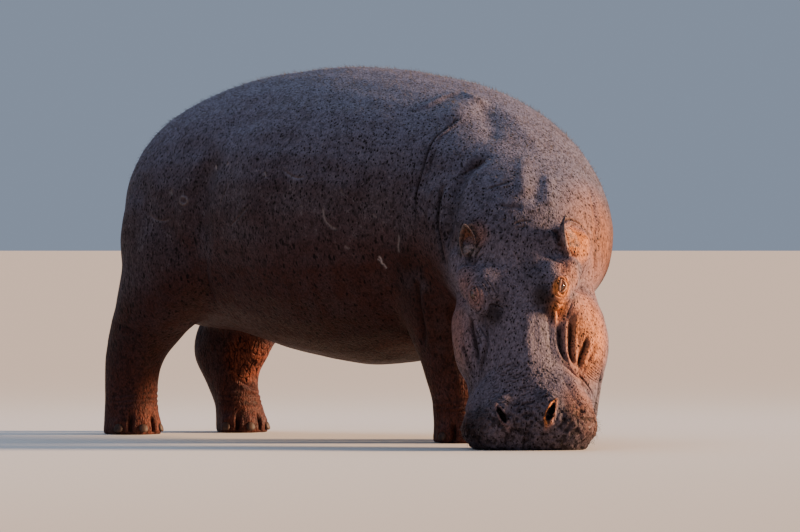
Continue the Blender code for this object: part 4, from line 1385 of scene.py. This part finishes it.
def eyeFinish():
    made = Finish("eyeball", **{"Roughness": 0.06, "Coat Weight": 0.6, "Coat Roughness": 0.03})
    iris = made.mix(made.mark("iris"), smallColours["white"], smallColours["iris"])
    made.feed("Base Color", made.mix(made.mark("pupil"), iris, smallColours["pupil"]))
    return made.material


def nailFinish():
    made = Finish("horn", **{"Roughness": 0.60, "Specular IOR Level": 0.25})
    place = made.place()
    streak = made.noise(made.stretched(place, (1.0, 1.0, 0.15)), 160.0, 3.0, 0.6)
    made.feed("Base Color", made.mix(made.between(streak, 0.3, 0.7), smallColours["nailDark"],
                                     smallColours["nailLight"]))
    made.feed("Normal", made.add("Bump", inputs={"Strength": 0.4, "Distance": 0.001, "Height": streak}))
    return made.material


def bristleFinish():
    made = Finish("bristle", **{"Roughness": 0.45, "Specular IOR Level": 0.5})
    tint = made.noise(made.place(), 55.0, 2.0, 0.5)
    made.feed("Base Color", made.mix(made.between(tint, 0.35, 0.65), smallColours["hairDark"],
                                     smallColours["hairLight"]))
    return made.material


# An unwrap of a plain copy of the skin: it tells each bristle the place of its root on the flat map.
mapSet = dict(cell=0.030, angle=1.15, margin=0.004)


def flatMap(mesh):
    plain = linked("flatMap", remeshed(mesh, mapSet["cell"]))
    bpy.context.view_layer.objects.active = plain
    plain.select_set(True)
    bpy.ops.object.mode_set(mode="EDIT")
    bpy.ops.mesh.select_all(action="SELECT")
    bpy.ops.uv.smart_project(angle_limit=mapSet["angle"], island_margin=mapSet["margin"])
    bpy.ops.object.mode_set(mode="OBJECT")
    data = plain.data
    layer = data.uv_layers.active.data
    corners, spots, faces = placesOf(data), [], []
    for face in data.polygons:
        faces.append(tuple(face.vertices))
        spots.append([layer[index].uv.copy() for index in face.loop_indices])
    tree = BVHTree.FromPolygons([Vector(place) for place in corners], faces)
    bpy.data.objects.remove(plain)

    def rootPlace(point):
        spot, _, index, _ = tree.find_nearest(point)
        near = [Vector(corners[k]) for k in faces[index]]
        weights = [1 / ((spot - corner).length + 1e-4) for corner in near]
        total = sum(weights)
        return [sum(weight * uv[k] for weight, uv in zip(weights, spots[index])) / total for k in (0, 1)]
    return rootPlace


# Where the bristles stand: how many, their length, how thick, and how far they lean along the lie.
bristleSet = dict(
    seed=23, patch=0.003, swing=0.35, sink=0.001, taper=0.7, corners=(0, 2.0944, 4.1888),
    groups={
        "backBristles": dict(count=6500, long=(0.008, 0.024), thick=0.00055, lean=1.0, lie=(-1, 0, -0.3)),
        "muzzleBristles": dict(count=420, long=(0.012, 0.034), thick=0.00050, lean=0.45, lie=(0, 0, -1)),
        "earFringes": dict(count=520, long=(0.010, 0.026), thick=0.00040, lean=0.6, lie=(0, 0, -1)),
        "tailTuft": dict(count=260, long=(0.030, 0.070), thick=0.00060, lean=1.6, lie=(0, 0, -1)),
    },
)


def bristleShare(name, places, normals):
    local = headLocal(places)
    face = inHead(places, -0.06, 0.05)
    if name == "backBristles":
        return eased(normals[:, 2], 0.15, 0.75) * eased(places[:, 2], 0.75, 1.05) * (1 - face * 0.8)
    if name == "muzzleBristles":
        ring = eased(local[:, 0], 0.60, 0.70) * (0.3 + 0.7 * eased(np.abs(local[:, 1]), 0.08, 0.17))
        return ring * face * (places[:, 2] > solidLow.z + 0.03)
    if name == "earFringes":
        share = np.zeros(len(places))
        for ear in earSet["poses"]:
            height, level, spread, (_, _, back) = fromEar(ear, places)
            front = (level @ back) < 0.012
            share = np.maximum(share, (height > 0.020) * (height < 0.15) * (spread < 0.045) * front)
        return share
    low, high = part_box("tail")
    on = np.all((places > np.array(low) - 0.012) & (places < np.array(high) + 0.012), axis=1)
    return on * eased(places[:, 2], low[2] + 0.14, low[2] + 0.02)


def coated(obj, finish):
    obj.data.materials.append(finish)
    obj.data.polygons.foreach_set("use_smooth", [True] * len(obj.data.polygons))
    obj.data.update()


def makeBristles(name, skin, rootPlace, finish):
    made = bristleSet["groups"][name]
    random = np.random.default_rng(bristleSet["seed"] + len(name))
    mesh = skin.data
    corners = np.array([tuple(face.vertices)[:3] for face in mesh.polygons])
    places, normals = placesOf(mesh), normalsOf(mesh)
    a, b, c = places[corners[:, 0]], places[corners[:, 1]], places[corners[:, 2]]
    middle = (a + b + c) / 3
    share = bristleShare(name, middle, normals[corners[:, 0]])
    areas = np.linalg.norm(np.cross(b - a, c - a), axis=1) * share
    chosen = random.choice(len(corners), made["count"], p=areas / areas.sum())
    parts = random.random((made["count"], 2))
    parts = np.where(parts.sum(1)[:, None] > 1, 1 - parts, parts)
    bm = bmesh.new()
    layer = bm.loops.layers.uv.new("OFBake")
    for index, (s, t) in zip(chosen, parts):
        root = Vector(a[index] + (b[index] - a[index]) * s + (c[index] - a[index]) * t)
        up = Vector(normals[corners[index, 0]]).normalized()
        lie = Vector(made["lie"])
        lie = lie - up * lie.dot(up)
        lie = lie.normalized() if lie.length > 1e-4 else up.orthogonal().normalized()
        swing = Vector(random.normal(0, bristleSet["swing"], 3))
        way = (up + lie * made["lean"] * random.uniform(0.5, 1.2) + swing).normalized()
        if way.dot(up) < 0.15:
            way = (way + up * 0.4).normalized()
        bend = (way + lie * 0.5 * made["lean"]).normalized()
        length = random.uniform(*made["long"])
        thick = made["thick"] * random.uniform(0.8, 1.25)
        first = way.orthogonal().normalized()
        second = way.cross(first)
        stages = [(root - up * bristleSet["sink"], thick),
                  (root + way * length * 0.5, thick * bristleSet["taper"])]
        rings = []
        for spot, radius in stages:
            rings.append([bm.verts.new(spot + (first * math.cos(turn) + second * math.sin(turn)) * radius)
                          for turn in bristleSet["corners"]])
        tip = bm.verts.new(root + way * length * 0.5 + bend * length * 0.5)
        faces = []
        for k in range(3):
            after = (k + 1) % 3
            faces.append(bm.faces.new((rings[0][k], rings[0][after], rings[1][after], rings[1][k])))
            faces.append(bm.faces.new((rings[1][k], rings[1][after], tip)))
        faces.append(bm.faces.new(rings[0][::-1]))
        u, v = rootPlace(root)
        for face in faces:
            for loop in face.loops:
                rise = (loop.vert.co - root).length / length
                turn = (loop.vert.co - root).dot(first) / thick
                loop[layer].uv = (u + turn * bristleSet["patch"] * 0.4,
                                  v + (rise - 0.5) * bristleSet["patch"])
    obj = linked(name, meshFrom(bm, name))
    coated(obj, finish)
    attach(obj, "root")
    say(f"{name}: {made['count']} bristles")


def dressEye(name, finish):
    centre, along, across, out = eyeAxes(name)
    bm = bmesh.new()
    turn = Matrix((along, across, out)).transposed().to_4x4()
    if turn.determinant() < 0:
        turn = Matrix((along, -across, out)).transposed().to_4x4()
    around, rows = eyeSet["net"]
    long, tall = eyeSet["pupil"]
    bmesh.ops.create_uvsphere(bm, u_segments=around, v_segments=rows, radius=eyeSet["radius"])
    iris, pupil = [], []
    for vert in bm.verts:
        spread = math.hypot(vert.co.x, vert.co.y)
        if vert.co.z > 0:
            vert.co.z += eyeSet["bulge"] * max(0.0, 1 - (spread / eyeSet["bulgeWide"]) ** 2)
        iris.append(float(eased(spread, *eyeSet["iris"])) if vert.co.z > 0 else 0.0)
        slot = math.hypot(vert.co.x / long, vert.co.y / tall)
        pupil.append(float(eased(slot, 1.1, 0.85)) if vert.co.z > 0 else 0.0)
    bmesh.ops.transform(bm, matrix=Matrix.Translation(centre) @ turn, verts=bm.verts)
    obj = linked(name + "_ball", meshFrom(bm, name + "_ball"))
    for key, values in (("iris", iris), ("pupil", pupil)):
        obj.data.attributes.new(key, "FLOAT", "POINT").data.foreach_set("value", values)
    coated(obj, finish)
    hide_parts(name)
    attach(obj, "root")


nailSet = dict(out=0.0095, half=0.0190, tall=0.0175, power=0.85, narrow=0.12, lean=0.30, curl=0.10,
               net=(28, 20))


def dressNail(name, foot, finish):
    centre, _ = feet[foot]
    spot = middleOf(name)
    out = Vector((spot.x - centre.x, spot.y - centre.y, 0)).normalized()
    side = Vector((0, 0, 1)).cross(out)
    bm = bmesh.new()
    around, rows = nailSet["net"]
    bmesh.ops.create_uvsphere(bm, u_segments=around, v_segments=rows, radius=1.0)
    for vert in bm.verts:
        x, y, z = (math.copysign(abs(value) ** nailSet["power"], value) for value in vert.co)
        x, y, z = x * nailSet["out"], y * nailSet["half"] * (1 - nailSet["narrow"] * z), z * nailSet["tall"]
        x -= nailSet["lean"] * z + nailSet["curl"] * abs(y)
        place = spot + out * x + side * y + Vector((0, 0, z))
        vert.co = Vector((place.x, place.y, max(place.z, solidLow.z)))
    obj = linked(name + "_horn", meshFrom(bm, name + "_horn"))
    coated(obj, finish)
    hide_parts(name)
    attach(obj, "root")


stageSet = dict(half=400, under=0.0005, floor=(0.62, 0.60, 0.57, 1), sky=(0.62, 0.75, 1.0, 1),
                skyStrength=0.38)


def makeStage():
    bm = bmesh.new()
    bmesh.ops.create_grid(bm, x_segments=1, y_segments=1, size=stageSet["half"])
    bmesh.ops.translate(bm, verts=bm.verts, vec=(0, 0, solidLow.z - stageSet["under"]))
    obj = linked("floor", meshFrom(bm, "floor"))
    made = Finish("paleFloor", **{"Roughness": 0.9, "Base Color": stageSet["floor"]})
    obj.data.materials.append(made.material)
    world = bpy.data.worlds.new("studio")
    bpy.context.scene.world = world
    world.use_nodes = True
    backdrop = world.node_tree.nodes["Background"]
    backdrop.inputs["Color"].default_value = stageSet["sky"]
    backdrop.inputs["Strength"].default_value = stageSet["skyStrength"]


# A light's way is how far right, away from the camera and up it stands. The key's is only a direction.
lightSet = dict(
    key=dict(way=(1.0, 0.02, 0.25), strength=15.0, angle=12, colour=(1.0, 0.64, 0.38)),
    fill=dict(way=(-4.0, -4.5, 3.5), size=(4.0, 3.0), power=50, colour=(0.80, 0.88, 1.0)),
    top=dict(way=(0.0, 2.2, 4.2), size=(5.0, 2.5), power=120, colour=(0.66, 0.78, 1.0)),
)


def softLight(name, spot, target, size, power, colour):
    data = bpy.data.lights.new(name, "AREA")
    data.shape = "RECTANGLE"
    data.size, data.size_y = size
    data.energy = power
    data.color = colour
    obj = linked(name, data)
    obj.location = spot
    obj.rotation_euler = (target - spot).to_track_quat("-Z", "Y").to_euler()


cameraSet = dict(azimuth=35.0, distance=24.0, height=0.85, aim=(0.1218, -0.0514), dip=0.387, lens=273.24)


def makeCamera():
    azimuth = math.radians(cameraSet["azimuth"])
    away = Vector((-math.sin(azimuth), math.cos(azimuth), 0))
    data = bpy.data.cameras.new("camera")
    data.sensor_width = 36
    data.lens = cameraSet["lens"]
    data.clip_end = 200
    obj = linked("camera", data)
    aim = bodyPoint((*cameraSet["aim"], 0))
    obj.location = aim - away * cameraSet["distance"] + Vector((0, 0, cameraSet["height"]))
    dip = math.radians(cameraSet["dip"])
    look = away * math.cos(dip) - Vector((0, 0, math.sin(dip)))
    obj.rotation_euler = look.to_track_quat("-Z", "Y").to_euler()
    bpy.context.scene.camera = obj
    return away, Vector((math.cos(azimuth), math.sin(azimuth), 0))


def makeLights(away, right):
    def toward(way):
        return right * way[0] + away * way[1] + Vector((0, 0, way[2]))

    middle = bodyPoint((0, 0, 0.8))
    made = lightSet["key"]
    data = bpy.data.lights.new("keyLight", "SUN")
    data.energy = made["strength"]
    data.angle = math.radians(made["angle"])
    data.color = made["colour"]
    key = linked("keyLight", data)
    key.rotation_euler = toward(made["way"]).to_track_quat("Z", "Y").to_euler()
    for name, made in (("fillLight", lightSet["fill"]), ("topLight", lightSet["top"])):
        softLight(name, middle + toward(made["way"]), middle, made["size"], made["power"], made["colour"])


makeStage()
away, right = makeCamera()
makeLights(away, right)
clay = makeSkin()
leaveMarks(clay)
skin = linked("skin", clay.mesh)
skin.data.materials.clear()
coated(skin, hideFinish())
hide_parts(*fleshNames)
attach(skin, "root")
say("skin dressed")
eyeGloss = eyeFinish()
for name in ("eye_left", "eye_right"):
    dressEye(name, eyeGloss)
horn = nailFinish()
for foot in feet:
    for count in (1, 2, 3, 4):
        dressNail(f"nail_{foot}_{count}", foot, horn)
say("eyes and nails dressed")
rootPlace = flatMap(skin.data)
bristle = bristleFinish()
for name in bristleSet["groups"]:
    makeBristles(name, skin, rootPlace, bristle)
